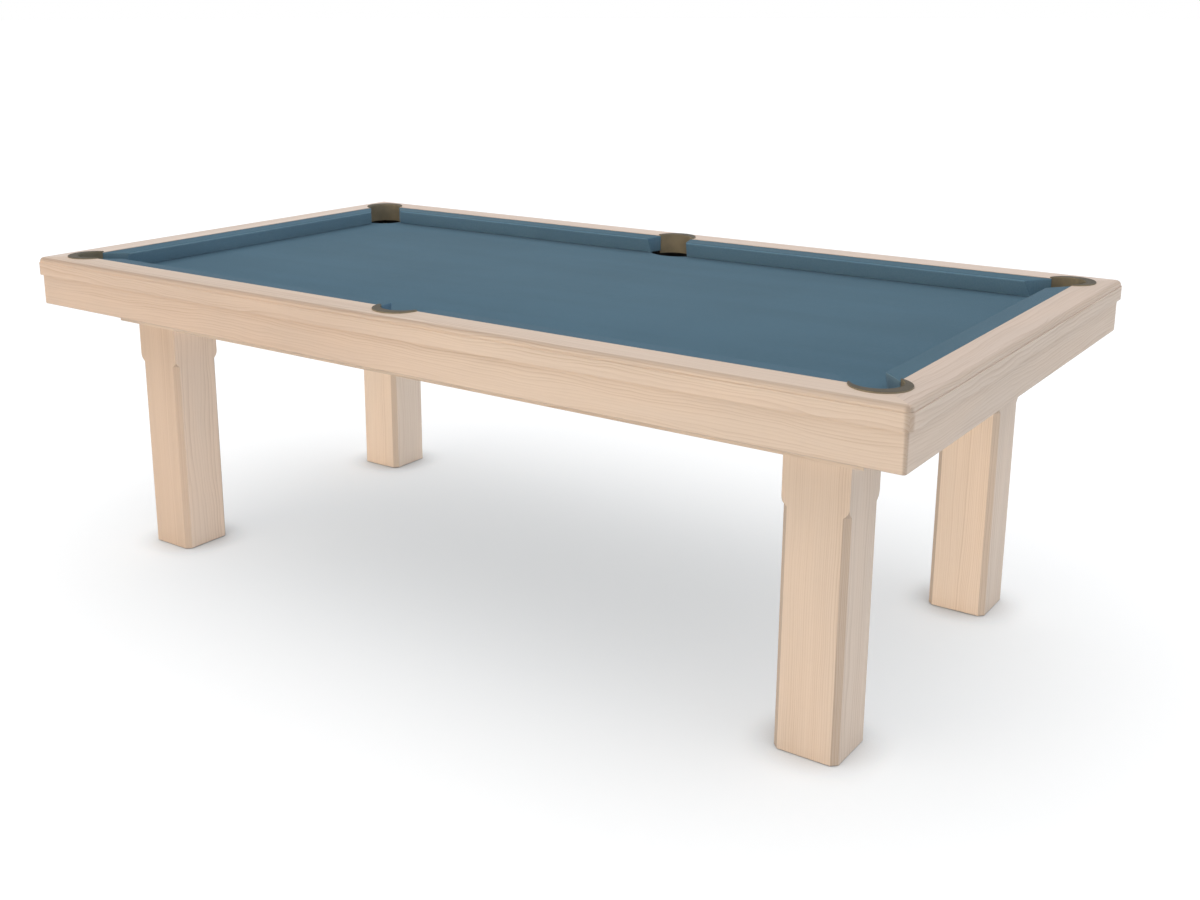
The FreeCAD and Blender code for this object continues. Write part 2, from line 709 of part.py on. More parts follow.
def make_backings():
    """The six wooden strips that the cushions are glued to."""
    body = new_body("cushion_backings")
    depth = "Sizes.backing_width"
    mouth_x = throat_points("Sizes.side_mouth", "Sizes.side_throat", depth)
    gain = "(Sizes.corner_mouth + Sizes.cushion_width)"
    corner = throat_points(gain, "Sizes.corner_throat", depth)
    low = BED
    high = f"({TOP} - Sizes.cushion_drop - Sizes.cushion_fall)"
    along = {
        "points": [
            ("Sizes.side_throat", WOOD_Y),
            (f"{WOOD_X} - Sizes.corner_throat", WOOD_Y),
            (f"{WOOD_X} - {corner}", f"{WOOD_Y} - {depth}"),
            (mouth_x, f"{WOOD_Y} - {depth}"),
        ]
    }
    across = {
        "points": [
            (WOOD_X, "0"),
            (WOOD_X, f"{WOOD_Y} - Sizes.corner_throat"),
            (f"{WOOD_X} - {depth}", f"{WOOD_Y} - {corner}"),
            (f"{WOOD_X} - {depth}", "0"),
        ]
    }
    add(body, "strips", [along, across], low, high)
    mirror_to_all_quarters(body)


def make_liner(name, x, y, turn, centre, hole, hole_radius, corner):
    """A pocket liner: a flat flange on the rail, a wall round the hole and a thin skirt.

    It is built with its origin at the wood's edge or corner and the table towards -Y,
    and at a corner towards -X as well. It ends at the wood's face.
    """
    body = new_body(name)
    bottom = f"({SLATE_TOP} - Sizes.liner_drop)"
    flange_top = f"({TOP} + Sizes.flange_height)"
    skirt = (*hole, f"({hole_radius} + Sizes.liner_skirt)")
    add(body, "skirt", [skirt], bottom, SLATE_TOP)
    add(body, "wall", [(*centre, "Sizes.liner_radius")], SLATE_TOP, TOP)
    add(body, "flange", [(*centre, "Sizes.flange_radius")], TOP, flange_top)
    rim = value(flange_top)
    round_edges(body, "rim", "Sizes.flange_round", lambda edge: lies_at(edge, rim))
    low = f"({bottom} - Sizes.overrun)"
    high = f"({flange_top} + Sizes.overrun)"
    cut(body, "hole", [(*hole, hole_radius)], low, high)
    far = "(-2 * Sizes.flange_radius - Sizes.corner_hole_inset)"
    side_edge = "0" if corner else f"(-1 * {far})"
    cut(body, "open_side", [box(far, far, side_edge, "0")], low, high)
    size = value(hole_radius)
    round_edges(
        body,
        "mouth",
        "Sizes.liner_hole_round",
        lambda edge: lies_at(edge, rim) and is_arc(edge, size),
    )
    put(body, x, y, turn)


def make_liners():
    """Six liners: one in each corner and one in the middle of each long rail."""
    inset = "(-1 * Sizes.corner_liner_inset)"
    hole = "(-1 * Sizes.corner_hole_inset)"
    turns = {"rear_right": 0, "rear_left": 90, "front_left": 180, "front_right": 270}
    for name, (sx, sy) in CORNERS.items():
        make_liner(
            f"pocket_liner_{name}",
            f"{sx} * {WOOD_X}",
            f"{sy} * {WOOD_Y}",
            turns[name],
            (inset, inset),
            (hole, hole),
            "Sizes.corner_hole_radius",
            True,
        )
    for name, sy, turn in (("front_middle", -1, 180), ("rear_middle", 1, 0)):
        make_liner(
            f"pocket_liner_{name}",
            "0",
            f"{sy} * {WOOD_Y}",
            turn,
            ("0", "(-1 * Sizes.side_liner_inset)"),
            ("0", "(-1 * Sizes.side_hole_inset)"),
            "Sizes.side_hole_radius",
            False,
        )


CUP_EAR = "(Sizes.ear_length / 2)"
SIDE_CUP_Y = f"({APRON_IN_Y} - Sizes.side_cup_gap - Sizes.side_cup_width / 2)"


def cup_screw_places():
    """Where the cups' screws enter the slate, in all four quarters."""
    reach = f"(Sizes.cup_radius + {CUP_EAR})"
    places = [(f"({HOLE_X} - {reach})", HOLE_Y), (HOLE_X, f"({HOLE_Y} - {reach})")]
    side_reach = f"(Sizes.side_cup_length / 2 + {CUP_EAR})"
    places.append((side_reach, SIDE_CUP_Y))
    return all_quarters(places)


def cup_levels():
    """The heights of a cup: its bottom, its inner floor, the ears' underside and its rim."""
    bottom = f"({SLATE_BOTTOM} - Sizes.cup_depth)"
    floor = f"({bottom} + Sizes.cup_wall)"
    ears = f"({SLATE_BOTTOM} - Sizes.cup_wall)"
    return bottom, floor, ears, SLATE_BOTTOM


def finish_cup(body, shell, hollow, ears, holes):
    """Builds a cup from its plan outlines and rounds its lower edge."""
    bottom, floor, under, rim = cup_levels()
    add(body, "shell", [shell], bottom, rim)
    low = value(bottom)
    round_edges(body, "bottom_edge", "Sizes.cup_round", lambda edge: lies_at(edge, low))
    for number, ear in enumerate(ears):
        add(body, f"ear_{number}", [ear], under, rim)
    cut(body, "hollow", [hollow], floor, f"({rim} + Sizes.overrun)")
    inner = value(floor)
    round_edges(body, "floor_edge", "Sizes.cup_round - Sizes.cup_wall", lambda edge: lies_at(edge, inner))
    bore = "Sizes.small_screw_radius + Sizes.fit_clearance"
    cut(body, "screw_bores", [(x, y, bore) for x, y in holes], f"({under} - Sizes.overrun)", rim)


def make_cups():
    """Catch cups under the slate, one below each pocket."""
    wall = "Sizes.cup_wall"
    reach = f"(Sizes.cup_radius + {CUP_EAR})"
    far = "(Sizes.cup_radius + Sizes.ear_length)"
    half = "Sizes.ear_width / 2"
    turns = {"rear_right": 0, "rear_left": 90, "front_left": 180, "front_right": 270}
    for name, (sx, sy) in CORNERS.items():
        body = new_body(f"pocket_cup_{name}")
        shell = ("0", "0", "Sizes.cup_radius")
        hollow = ("0", "0", f"Sizes.cup_radius - {wall}")
        ears = [box(f"-{far}", f"-{half}", "0", half), box(f"-{half}", f"-{far}", half, "0")]
        holes = [(f"-{reach}", "0"), ("0", f"-{reach}")]
        finish_cup(body, shell, hollow, ears, holes)
        put(body, f"{sx} * {HOLE_X}", f"{sy} * {HOLE_Y}", turns[name])
    half_x = "(Sizes.side_cup_length / 2)"
    half_y = "(Sizes.side_cup_width / 2)"
    radius = "Sizes.side_cup_corner"
    for name, sy in (("front_middle", -1), ("rear_middle", 1)):
        body = new_body(f"pocket_cup_{name}")
        shell = rounded_box(half_x, half_y, radius)
        hollow = rounded_box(f"({half_x} - {wall})", f"({half_y} - {wall})", f"({radius} - {wall})")
        far = f"({half_x} + Sizes.ear_length)"
        ears = [box(f"-{far}", f"-{half}", far, half)]
        reach = f"({half_x} + {CUP_EAR})"
        finish_cup(body, shell, hollow, ears, [(f"-{reach}", "0"), (reach, "0")])
        put(body, "0", f"{sy} * {SIDE_CUP_Y}")


def make_cup_screws():
    """The screws that hold the cups up to the slate."""
    body = new_body("cup_screws")
    under = cup_levels()[2]
    places = between(cup_screw_places(), "0", SLATE_X, "0", SLATE_Y)
    top = f"({under} + Sizes.small_screw_length)"
    add(body, "shanks", [(x, y, "Sizes.small_screw_radius") for x, y in places], under, top)
    heads = [(x, y, "Sizes.small_screw_head_radius") for x, y in places]
    add(body, "heads", heads, f"({under} - Sizes.small_screw_head)", under)
    mirror_to_all_quarters(body)


def make_beam(side):
    """A beam of the frame: the long ones run through, the end ones fit between them."""
    along_x, along_y = SIDES[side]
    body = new_body(f"beam_{side}")
    if along_y:
        y0, y1 = span(along_y, BEAM_IN_Y, FRAME_Y)
        outline = box(f"-{FRAME_X}", y0, FRAME_X, y1)
    else:
        x0, x1 = span(along_x, BEAM_IN_X, FRAME_X)
        outline = box(x0, f"-{BEAM_IN_Y}", x1, BEAM_IN_Y)
    add(body, "timber", [outline], FRAME_BOTTOM, SLATE_BOTTOM)
    high = f"({SLATE_BOTTOM} + Sizes.overrun)"
    if along_y:
        notch = "Sizes.cup_radius + Sizes.frame_notch_gap"
        circles = [(f"{sign} * {HOLE_X}", f"{along_y} * {HOLE_Y}", notch) for sign in (-1, 1)]
        cut(body, "cup_notches", circles, f"({SLATE_BOTTOM} - Sizes.frame_notch_height)", high)
    x0, x1, y0, y1 = outline_area(outline)
    screws = between(all_quarters(slate_screw_places()), x0, x1, y0, y1)
    cut(body, "screw_bores", screw_bores(screws), screw_bottom(), high)
    inner, outer = (BEAM_IN_Y, FRAME_Y) if along_y else (BEAM_IN_X, FRAME_X)
    low = f"({outer} + Sizes.bracket_thickness - Sizes.small_screw_length - Sizes.seat_clearance)"
    radius = "Sizes.small_screw_radius + Sizes.fit_clearance"
    far = f"({outer} + Sizes.overrun)"
    drill(body, "pilot_bores", side, bracket_screw_centres(side), radius, low, far)


def outline_area(outline):
    """The lowest and highest x and y expressions of a box outline."""
    points = outline["points"]
    return points[0][0], points[1][0], points[0][1], points[2][1]


def screw_bottom():
    """How deep the slate screws' bores reach into the beams."""
    return f"({SLATE_TOP} - Sizes.slate_screw_sink - Sizes.slate_screw_length - Sizes.seat_clearance)"


def screw_bores(places):
    """Circles for the slate screws' bores."""
    return [(x, y, "Sizes.slate_screw_radius + Sizes.fit_clearance") for x, y in places]


def make_cross_beams():
    """Two wide cross beams below the seams of the slates."""
    half = "Sizes.cross_beam_width / 2"
    for name, sign in (("left", -1), ("right", 1)):
        body = new_body(f"cross_beam_{name}")
        x0, x1 = span(sign, f"(Sizes.slate_seam - {half})", f"(Sizes.slate_seam + {half})")
        outline = box(x0, f"-{BEAM_IN_Y}", x1, BEAM_IN_Y)
        add(body, "timber", [outline], f"({SLATE_BOTTOM} - Sizes.cross_beam_height)", SLATE_BOTTOM)
        screws = between(all_quarters(slate_screw_places()), x0, x1, f"-{BEAM_IN_Y}", BEAM_IN_Y)
        cut(body, "screw_bores", screw_bores(screws), screw_bottom(), f"({SLATE_BOTTOM} + Sizes.overrun)")


def make_slate_screws():
    """The sunk screws that hold the slates down on the beams."""
    body = new_body("slate_screws")
    seat = f"({SLATE_TOP} - Sizes.slate_screw_sink)"
    bottom = f"({seat} - Sizes.slate_screw_length)"
    places = slate_screw_places()
    add(body, "shanks", [(x, y, "Sizes.slate_screw_radius") for x, y in places], bottom, seat)
    heads = [(x, y, "Sizes.slate_screw_head_radius") for x, y in places]
    add(body, "heads", heads, seat, f"({seat} + Sizes.slate_screw_head)")
    mirror_to_all_quarters(body)


def make_rail_bolts():
    """The flanged bolts that pull the rails down through the slate."""
    body = new_body("rail_bolts")
    places = rail_bolt_places()
    under = f"({SLATE_BOTTOM} - Sizes.rail_bolt_flange_height)"
    shanks = [(x, y, "Sizes.rail_bolt_radius") for x, y in places]
    add(body, "shanks", shanks, SLATE_BOTTOM, f"({SLATE_TOP} + Sizes.rail_bolt_grip)")
    add(body, "flanges", [(x, y, "Sizes.rail_bolt_flange") for x, y in places], under, SLATE_BOTTOM)
    heads = [hexagon(x, y, "Sizes.rail_bolt_across") for x, y in places]
    add(body, "heads", heads, f"({under} - Sizes.rail_bolt_head)", under)
    mirror_to_all_quarters(body)


def make_brackets():
    """Bent steel brackets that carry the aprons on the frame."""
    body = new_body("apron_brackets")
    low = f"({APRON_BOTTOM} + Sizes.apron_block_gap)"
    web_top = f"({low} + Sizes.bracket_thickness)"
    high = f"({low} + Sizes.bracket_height)"
    half = "Sizes.bracket_width / 2"
    sheet_metal = "Sizes.bracket_thickness"
    webs, flanges = [], []
    for share in LONG_BRACKET_SHARES:
        x0, x1 = f"{share} * {WOOD_X} - {half}", f"{share} * {WOOD_X} + {half}"
        webs.append(box(x0, FRAME_Y, x1, APRON_IN_Y))
        flanges.append(box(x0, FRAME_Y, x1, f"{FRAME_Y} + {sheet_metal}"))
        flanges.append(box(x0, f"{APRON_IN_Y} - {sheet_metal}", x1, APRON_IN_Y))
    for share in END_BRACKET_SHARES:
        y0, y1 = f"{share} * {WOOD_Y} - {half}", f"{share} * {WOOD_Y} + {half}"
        webs.append(box(FRAME_X, y0, APRON_IN_X, y1))
        flanges.append(box(FRAME_X, y0, f"{FRAME_X} + {sheet_metal}", y1))
        flanges.append(box(f"{APRON_IN_X} - {sheet_metal}", y0, APRON_IN_X, y1))
    add(body, "webs", webs, low, web_top)
    add(body, "flanges", flanges, web_top, high)
    radius = "Sizes.small_screw_radius + Sizes.fit_clearance"
    for side, inner, outer in (("rear", FRAME_Y, APRON_IN_Y), ("right", FRAME_X, APRON_IN_X)):
        centres = [centre for centre in bracket_screw_centres(side) if value(centre) > 0]
        start, end = f"({inner} - Sizes.overrun)", f"({outer} + Sizes.overrun)"
        drill(body, f"{side}_bores", side, centres, radius, start, end)
    mirror_to_all_quarters(body)


def make_bracket_screws():
    """The screws through both flanges of every bracket."""
    body = new_body("bracket_screws")
    height = bracket_screw_height()
    metal = "Sizes.bracket_thickness"
    length = "Sizes.small_screw_length"
    head = "Sizes.small_screw_head"
    sides = (("rear", "XZ_Plane", FRAME_Y, APRON_IN_Y), ("right", "YZ_Plane", FRAME_X, APRON_IN_X))
    for side, plane, frame, apron in sides:
        centres = [centre for centre in bracket_screw_centres(side) if value(centre) > 0]
        shanks = [(centre, height, "Sizes.small_screw_radius") for centre in centres]
        heads = [(centre, height, "Sizes.small_screw_head_radius") for centre in centres]
        near = f"({frame} + {metal})"
        away = f"({apron} - {metal})"
        add(body, f"{side}_beam_shanks", shanks, f"({near} - {length})", near, plane)
        add(body, f"{side}_beam_heads", heads, near, f"({near} + {head})", plane)
        add(body, f"{side}_apron_shanks", shanks, away, f"({away} + {length})", plane)
        add(body, f"{side}_apron_heads", heads, f"({away} - {head})", away, plane)
    mirror_to_all_quarters(body)


LEG_BOLT_X = ("(-1 * Sizes.leg_bolt_spacing / 2)", "(Sizes.leg_bolt_spacing / 2)")
FOOT_SEAT = "(Sizes.foot_height + Sizes.seat_clearance)"
NUT_SEAT = f"({FOOT_SEAT} + Sizes.stem_nut_height + Sizes.seat_clearance)"


def leg_bolt_places():
    """The leg bolts of the rear right quarter."""
    return [(f"({LEG_X} + {offset})", LEG_Y) for offset in LEG_BOLT_X]


def make_leg(name, sx, sy):
    """A square leg with stopped chamfers on its four corners and bores at both ends."""
    body = new_body(name)
    half = "(Sizes.leg_width / 2)"
    bottom = "Sizes.foot_stand_off"
    add(body, "post", [box(f"-{half}", f"-{half}", half, half)], bottom, FRAME_BOTTOM)
    edge = "(Sizes.leg_width / sqrt(2))"
    depth = "(Sizes.leg_chamfer / sqrt(2))"
    rise = "(Sizes.leg_chamfer_end - Sizes.leg_chamfer_top)"
    outside = f"({edge} + Sizes.overrun)"
    points = [
        (f"{edge} - {depth}", "-Sizes.overrun"),
        (outside, "-Sizes.overrun"),
        (outside, "Sizes.leg_chamfer_end"),
        (edge, "Sizes.leg_chamfer_end"),
        (f"{edge} - {depth}", "Sizes.leg_chamfer_top"),
    ]
    radius = f"(({rise} * {rise} + {depth} * {depth}) / (2 * {depth}))"
    sketch = new_sketch(body, "chamfer", "XZ_Plane", "0", 45)
    draw_loop(sketch, points, {3: (radius, 1)})
    first = finish_cut(body, "chamfer", sketch, "Sizes.leg_width", both_ways=True)
    pattern = body.newObject("PartDesign::PolarPattern", f"{body.Name}_chamfers")
    pattern.Originals = [first]
    pattern.Axis = (origin_item(body, "Z_Axis"), [""])
    pattern.Angle = 360
    pattern.Occurrences = 4
    body.Tip = pattern
    low = f"({bottom} - Sizes.overrun)"
    cut(body, "foot_recess", [("0", "0", "Sizes.foot_recess_radius")], low, FOOT_SEAT)
    cut(body, "nut_recess", [("0", "0", "Sizes.nut_recess_radius")], low, NUT_SEAT)
    insert_top = f"({NUT_SEAT} + Sizes.foot_insert_length)"
    insert_bore = "Sizes.foot_insert_radius + Sizes.fit_clearance"
    cut(body, "insert_bore", [("0", "0", insert_bore)], low, insert_top)
    stem_bore = "Sizes.stem_radius + Sizes.seat_clearance"
    cut(body, "stem_bore", [("0", "0", stem_bore)], low, "Sizes.stem_bore_top")
    top = f"({FRAME_BOTTOM} + Sizes.overrun)"
    sleeve_bore = "Sizes.leg_insert_radius + Sizes.fit_clearance"
    sleeves = [(x, "0", sleeve_bore) for x in LEG_BOLT_X]
    cut(body, "sleeve_bores", sleeves, f"({FRAME_BOTTOM} - Sizes.leg_insert_length)", top)
    put(body, f"{sx} * {LEG_X}", f"{sy} * {LEG_Y}")


def make_corner_blocks():
    """Thick blocks in the frame's corners that the legs are bolted to."""
    body = new_body("corner_blocks")
    x0 = f"({BEAM_IN_X} - Sizes.corner_block_length)"
    y0 = f"({BEAM_IN_Y} - Sizes.corner_block_width)"
    top = f"({FRAME_BOTTOM} + Sizes.corner_block_height)"
    add(body, "block", [box(x0, y0, BEAM_IN_X, BEAM_IN_Y)], FRAME_BOTTOM, top)
    bore = "Sizes.leg_bolt_radius + Sizes.fit_clearance"
    circles = [(x, y, bore) for x, y in leg_bolt_places()]
    cut(body, "bores", circles, f"({FRAME_BOTTOM} - Sizes.overrun)", f"({top} + Sizes.overrun)")
    mirror_to_all_quarters(body)


def make_leg_fixings():
    """Threaded sleeves in the legs, with the bolts and washers that enter them."""
    block_top = f"({FRAME_BOTTOM} + Sizes.corner_block_height)"
    washer_top = f"({block_top} + Sizes.washer_thickness)"
    sleeve_bottom = f"({FRAME_BOTTOM} - Sizes.leg_insert_length)"
    places = leg_bolt_places()
    ring = "Sizes.leg_bolt_radius + Sizes.fit_clearance"
    bores = [(x, y, ring) for x, y in places]
    sleeves = new_body("leg_inserts")
    outsides = [(x, y, "Sizes.leg_insert_radius") for x, y in places]
    add(sleeves, "sleeves", outsides, sleeve_bottom, FRAME_BOTTOM)
    cut(sleeves, "threads", bores, sleeve_bottom, f"({FRAME_BOTTOM} + Sizes.overrun)")
    mirror_to_all_quarters(sleeves)
    washers = new_body("leg_washers")
    add(washers, "rings", [(x, y, "Sizes.washer_radius") for x, y in places], block_top, washer_top)
    cut(washers, "bores", bores, block_top, f"({washer_top} + Sizes.overrun)")
    mirror_to_all_quarters(washers)
    bolts = new_body("leg_bolts")
    shanks = [(x, y, "Sizes.leg_bolt_radius") for x, y in places]
    add(bolts, "shanks", shanks, f"({sleeve_bottom} + Sizes.washer_thickness)", washer_top)
    heads = [hexagon(x, y, "Sizes.leg_bolt_across") for x, y in places]
    add(bolts, "heads", heads, washer_top, f"({washer_top} + Sizes.leg_bolt_head)")
    mirror_to_all_quarters(bolts)


def make_foot(name, sx, sy):
    """A foot pad and the threaded stem that stands in its socket."""
    pad = new_body(f"foot_pad_{name}")
    add(pad, "disc", [("0", "0", "Sizes.foot_radius")], "0", "Sizes.foot_height")
    top = value("Sizes.foot_height")
    round_edges(pad, "edges", "Sizes.foot_edge", lambda edge: lies_at(edge, 0) or lies_at(edge, top))
    socket = "Sizes.stem_radius + Sizes.seat_clearance"
    socket_floor = "(Sizes.foot_height - Sizes.foot_socket_depth)"
    cut(pad, "socket", [("0", "0", socket)], socket_floor, "(Sizes.foot_height + Sizes.overrun)")
    put(pad, f"{sx} * {LEG_X}", f"{sy} * {LEG_Y}")
    stem = new_body(f"foot_stem_{name}")
    low = f"({socket_floor} + Sizes.seat_clearance)"
    add(stem, "thread", [("0", "0", "Sizes.stem_radius")], low, "Sizes.stem_top")
    nut_top = f"({FOOT_SEAT} + Sizes.stem_nut_height)"
    add(stem, "nut", [hexagon("0", "0", "Sizes.stem_nut_across")], FOOT_SEAT, nut_top)
    put(stem, f"{sx} * {LEG_X}", f"{sy} * {LEG_Y}")


def make_foot_inserts():
    """Threaded sleeves in the legs that the foot stems turn in."""
    body = new_body("foot_inserts")
    top = f"({NUT_SEAT} + Sizes.foot_insert_length)"
    add(body, "sleeve", [(LEG_X, LEG_Y, "Sizes.foot_insert_radius")], NUT_SEAT, top)
    bore = "Sizes.stem_radius + Sizes.seat_clearance"
    cut(body, "thread", [(LEG_X, LEG_Y, bore)], NUT_SEAT, f"({top} + Sizes.overrun)")
    mirror_to_all_quarters(body)


def check_document():
    """Stops on any failed object and any sub-part without a sound shape."""
    for item in document.Objects:
        if {"Invalid", "Error"} & set(item.State):
            raise RuntimeError(f"{item.Name} failed: {item.State}")
    for body in subparts:
        if body.Shape.isNull() or not body.Shape.isValid() or not body.Shape.Solids:
            raise RuntimeError(f"{body.Label} has no valid solid")


def write_steps():
    """Writes each sub-part to its own file, named after its label."""
    os.makedirs("parts", exist_ok=True)
    for body in subparts:
        body.Shape.exportStep(os.path.join("parts", f"{body.Label}.step"))


def main():
    """Builds every sub-part, checks them all and writes their files."""
    fill_sheet()
    for name, (sx, sy) in CORNERS.items():
        make_leg(f"leg_{name}", sx, sy)
        make_foot(name, sx, sy)
    make_foot_inserts()
    make_leg_fixings()
    make_corner_blocks()
    for side in SIDES:
        make_beam(side)
        make_rail(side)
        make_apron(side)
    make_cross_beams()
    make_slates()
    make_slate_screws()
    make_rail_bolts()
    make_cloth()
    make_cushions()
    make_backings()
    make_liners()
    make_cups()
    make_cup_screws()
    make_brackets()
    make_bracket_screws()
    make_apron_blocks()
    document.recompute()
    check_document()
    write_steps()
    print(len(subparts), "sub-parts written")


main()
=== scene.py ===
"""Looks of a six-pocket pool table: wood, cloth, cushions, pockets, steel and a plain studio."""
import math

import bpy
import bmesh
from mathutils import Matrix, Vector


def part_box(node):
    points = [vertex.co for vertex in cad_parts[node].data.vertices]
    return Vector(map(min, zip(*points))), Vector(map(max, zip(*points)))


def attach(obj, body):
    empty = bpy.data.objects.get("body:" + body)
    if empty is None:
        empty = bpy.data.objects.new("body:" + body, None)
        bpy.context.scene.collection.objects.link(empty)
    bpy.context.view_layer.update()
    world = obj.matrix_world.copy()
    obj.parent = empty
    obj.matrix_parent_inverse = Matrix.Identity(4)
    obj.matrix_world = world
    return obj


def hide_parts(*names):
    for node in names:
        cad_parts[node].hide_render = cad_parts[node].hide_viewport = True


bl_info = {
    "name": "Pool table looks",
    "version": (1, 0, 0),
    "blender": (4, 5, 0),
    "location": "View3D > Sidebar > Pool table",
    "description": "Dresses a slate-bed pool table in limed oak and slate-blue cloth",
    "category": "Object",
}

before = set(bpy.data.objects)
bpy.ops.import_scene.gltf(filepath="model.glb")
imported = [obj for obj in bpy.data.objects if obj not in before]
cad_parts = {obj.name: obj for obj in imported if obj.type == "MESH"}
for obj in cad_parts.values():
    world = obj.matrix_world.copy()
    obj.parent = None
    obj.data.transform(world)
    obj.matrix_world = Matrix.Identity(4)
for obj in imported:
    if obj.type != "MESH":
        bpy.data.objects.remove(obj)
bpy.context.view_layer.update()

MM = 0.001
BODY = "table"

BED_LOW, BED_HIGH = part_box("bed_cloth")
PLAY_LOW = Vector((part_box("cushion_left")[1].x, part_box("cushion_front_left")[1].y))
RAIL_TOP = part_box("rail_front")[1].z
RAIL_EDGE = {"X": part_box("rail_rear")[1].y, "Y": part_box("rail_right")[1].x}

QUARTER_TURN = math.pi / 2
ARC_STEPS = 40
JAW_STEPS = 4

# Painted shade: the aprons are painted near black from this far behind their outer faces inwards,
# so the pockets look dark.
SHADE_INSET = 22 * MM
INSIDE_SHADE = (0.012, 0.011, 0.01)
# Where the growth rings start, by the board's axis: how far out of the rail's edge and how far
# below its top.
RAIL_HEART = {"X": (35 * MM, 75 * MM), "Y": (35 * MM, 65 * MM)}
APRON_HEART = {"X": (60 * MM, 210 * MM), "Y": (50 * MM, 220 * MM)}
# Painted light and shade: share by which the faces towards +X and -Y are brighter, or darker where
# it is negative.
BOARD_FACING_SHADE = (-0.11, -0.07)
LEG_FACING_LIGHT = {
    "leg_front_left": (0.5, -0.02),
    "leg_front_right": (0.03, 0.0),
    "leg_rear_left": (0.38, 0.35),
    "leg_rear_right": (0.03, 0.35),
}


class PoolTableSizes(bpy.types.PropertyGroup):
    """Sizes of the cloth and the cushions."""

    cushion_width: bpy.props.FloatProperty(
        name="Cushion width",
        description="From the wood of the rail to the cushion's nose",
        default=47.5 * MM,
        unit="LENGTH",
    )
    cushion_gap: bpy.props.FloatProperty(
        name="Cushion gap",
        description="Room between the cloth of a cushion and the wood behind it",
        default=0.3 * MM,
        unit="LENGTH",
    )
    cushion_drop: bpy.props.FloatProperty(
        name="Cushion drop",
        description="How far the cushion's back lies below the top of the rail",
        default=1.0 * MM,
        unit="LENGTH",
    )
    cushion_fall: bpy.props.FloatProperty(
        name="Cushion fall",
        description="How far the cushion's top slopes down from the wood to the nose",
        default=1.5 * MM,
        unit="LENGTH",
    )
    nose_radius: bpy.props.FloatProperty(
        name="Nose radius",
        description="Rounding of the cushion's nose",
        default=4.0 * MM,
        unit="LENGTH",
    )
    nose_overhang: bpy.props.FloatProperty(
        name="Nose overhang",
        description="How far the nose stands out over the cushion's foot",
        default=12.2 * MM,
        unit="LENGTH",
    )
    cushion_base: bpy.props.FloatProperty(
        name="Cushion base",
        description="Room between the bed cloth and the cushion's foot",
        default=0.3 * MM,
        unit="LENGTH",
    )
    tuck_radius: bpy.props.FloatProperty(
        name="Tuck radius",
        description="Rounding of the cloth where it is tucked in along the wood",
        default=1.2 * MM,
        unit="LENGTH",
    )
    jaw_radius: bpy.props.FloatProperty(
        name="Jaw radius",
        description="Rounding of the cloth round the cushion's ends at the pockets",
        default=2.2 * MM,
        unit="LENGTH",
    )
    side_throat: bpy.props.FloatProperty(
        name="Side throat",
        description="From a side pocket's middle to the cushion, at the wood",
        default=47.0 * MM,
        unit="LENGTH",
    )
    side_mouth: bpy.props.FloatProperty(
        name="Side mouth",
        description="From a side pocket's middle to the cushion, at the nose",
        default=60.0 * MM,
        unit="LENGTH",
    )
    corner_throat: bpy.props.FloatProperty(
        name="Corner throat",
        description="From the corner of the wood to the cushion, along the wood",
        default=63.0 * MM,
        unit="LENGTH",
    )
    corner_mouth: bpy.props.FloatProperty(
        name="Corner mouth",
        description="From the corner of the play area to the cushion, along the nose line",
        default=65.0 * MM,
        unit="LENGTH",
    )
    cloth_thickness: bpy.props.FloatProperty(
        name="Cloth thickness",
        description="Thickness of the bed cloth",
        default=0.9 * MM,
        unit="LENGTH",
    )
    cloth_lip: bpy.props.FloatProperty(
        name="Cloth lip",
        description="How far the bed cloth is turned down into a pocket",
        default=12.0 * MM,
        unit="LENGTH",
    )


def colour_property(name, description, default):
    return bpy.props.FloatVectorProperty(
        name=name, description=description, default=default, subtype="COLOR", size=3, min=0, max=1
    )


class PoolTableColours(bpy.types.PropertyGroup):
    """Colours of the finishes."""

    wood_pale: colour_property("Pale wood", "Early wood of the limed boards", (0.652, 0.529, 0.433))
    wood_dark: colour_property("Dark wood", "Late wood of the limed boards", (0.462, 0.334, 0.246))
    cloth: colour_property("Cloth", "Cloth of the bed and the cushions", (0.063, 0.134, 0.188))
    cloth_deep: colour_property("Deep cloth", "Cloth between the fibres", (0.0456, 0.107, 0.153))
    liner: colour_property("Liner", "Pocket liners", (0.08, 0.069, 0.0475))
    slate: colour_property("Slate", "Slate of the bed", (0.075, 0.08, 0.088))
    timber: colour_property("Timber", "Timber of the frame under the slate", (0.58, 0.42, 0.27))
    floor: colour_property("Floor", "Studio floor", (0.6, 0.6, 0.6))


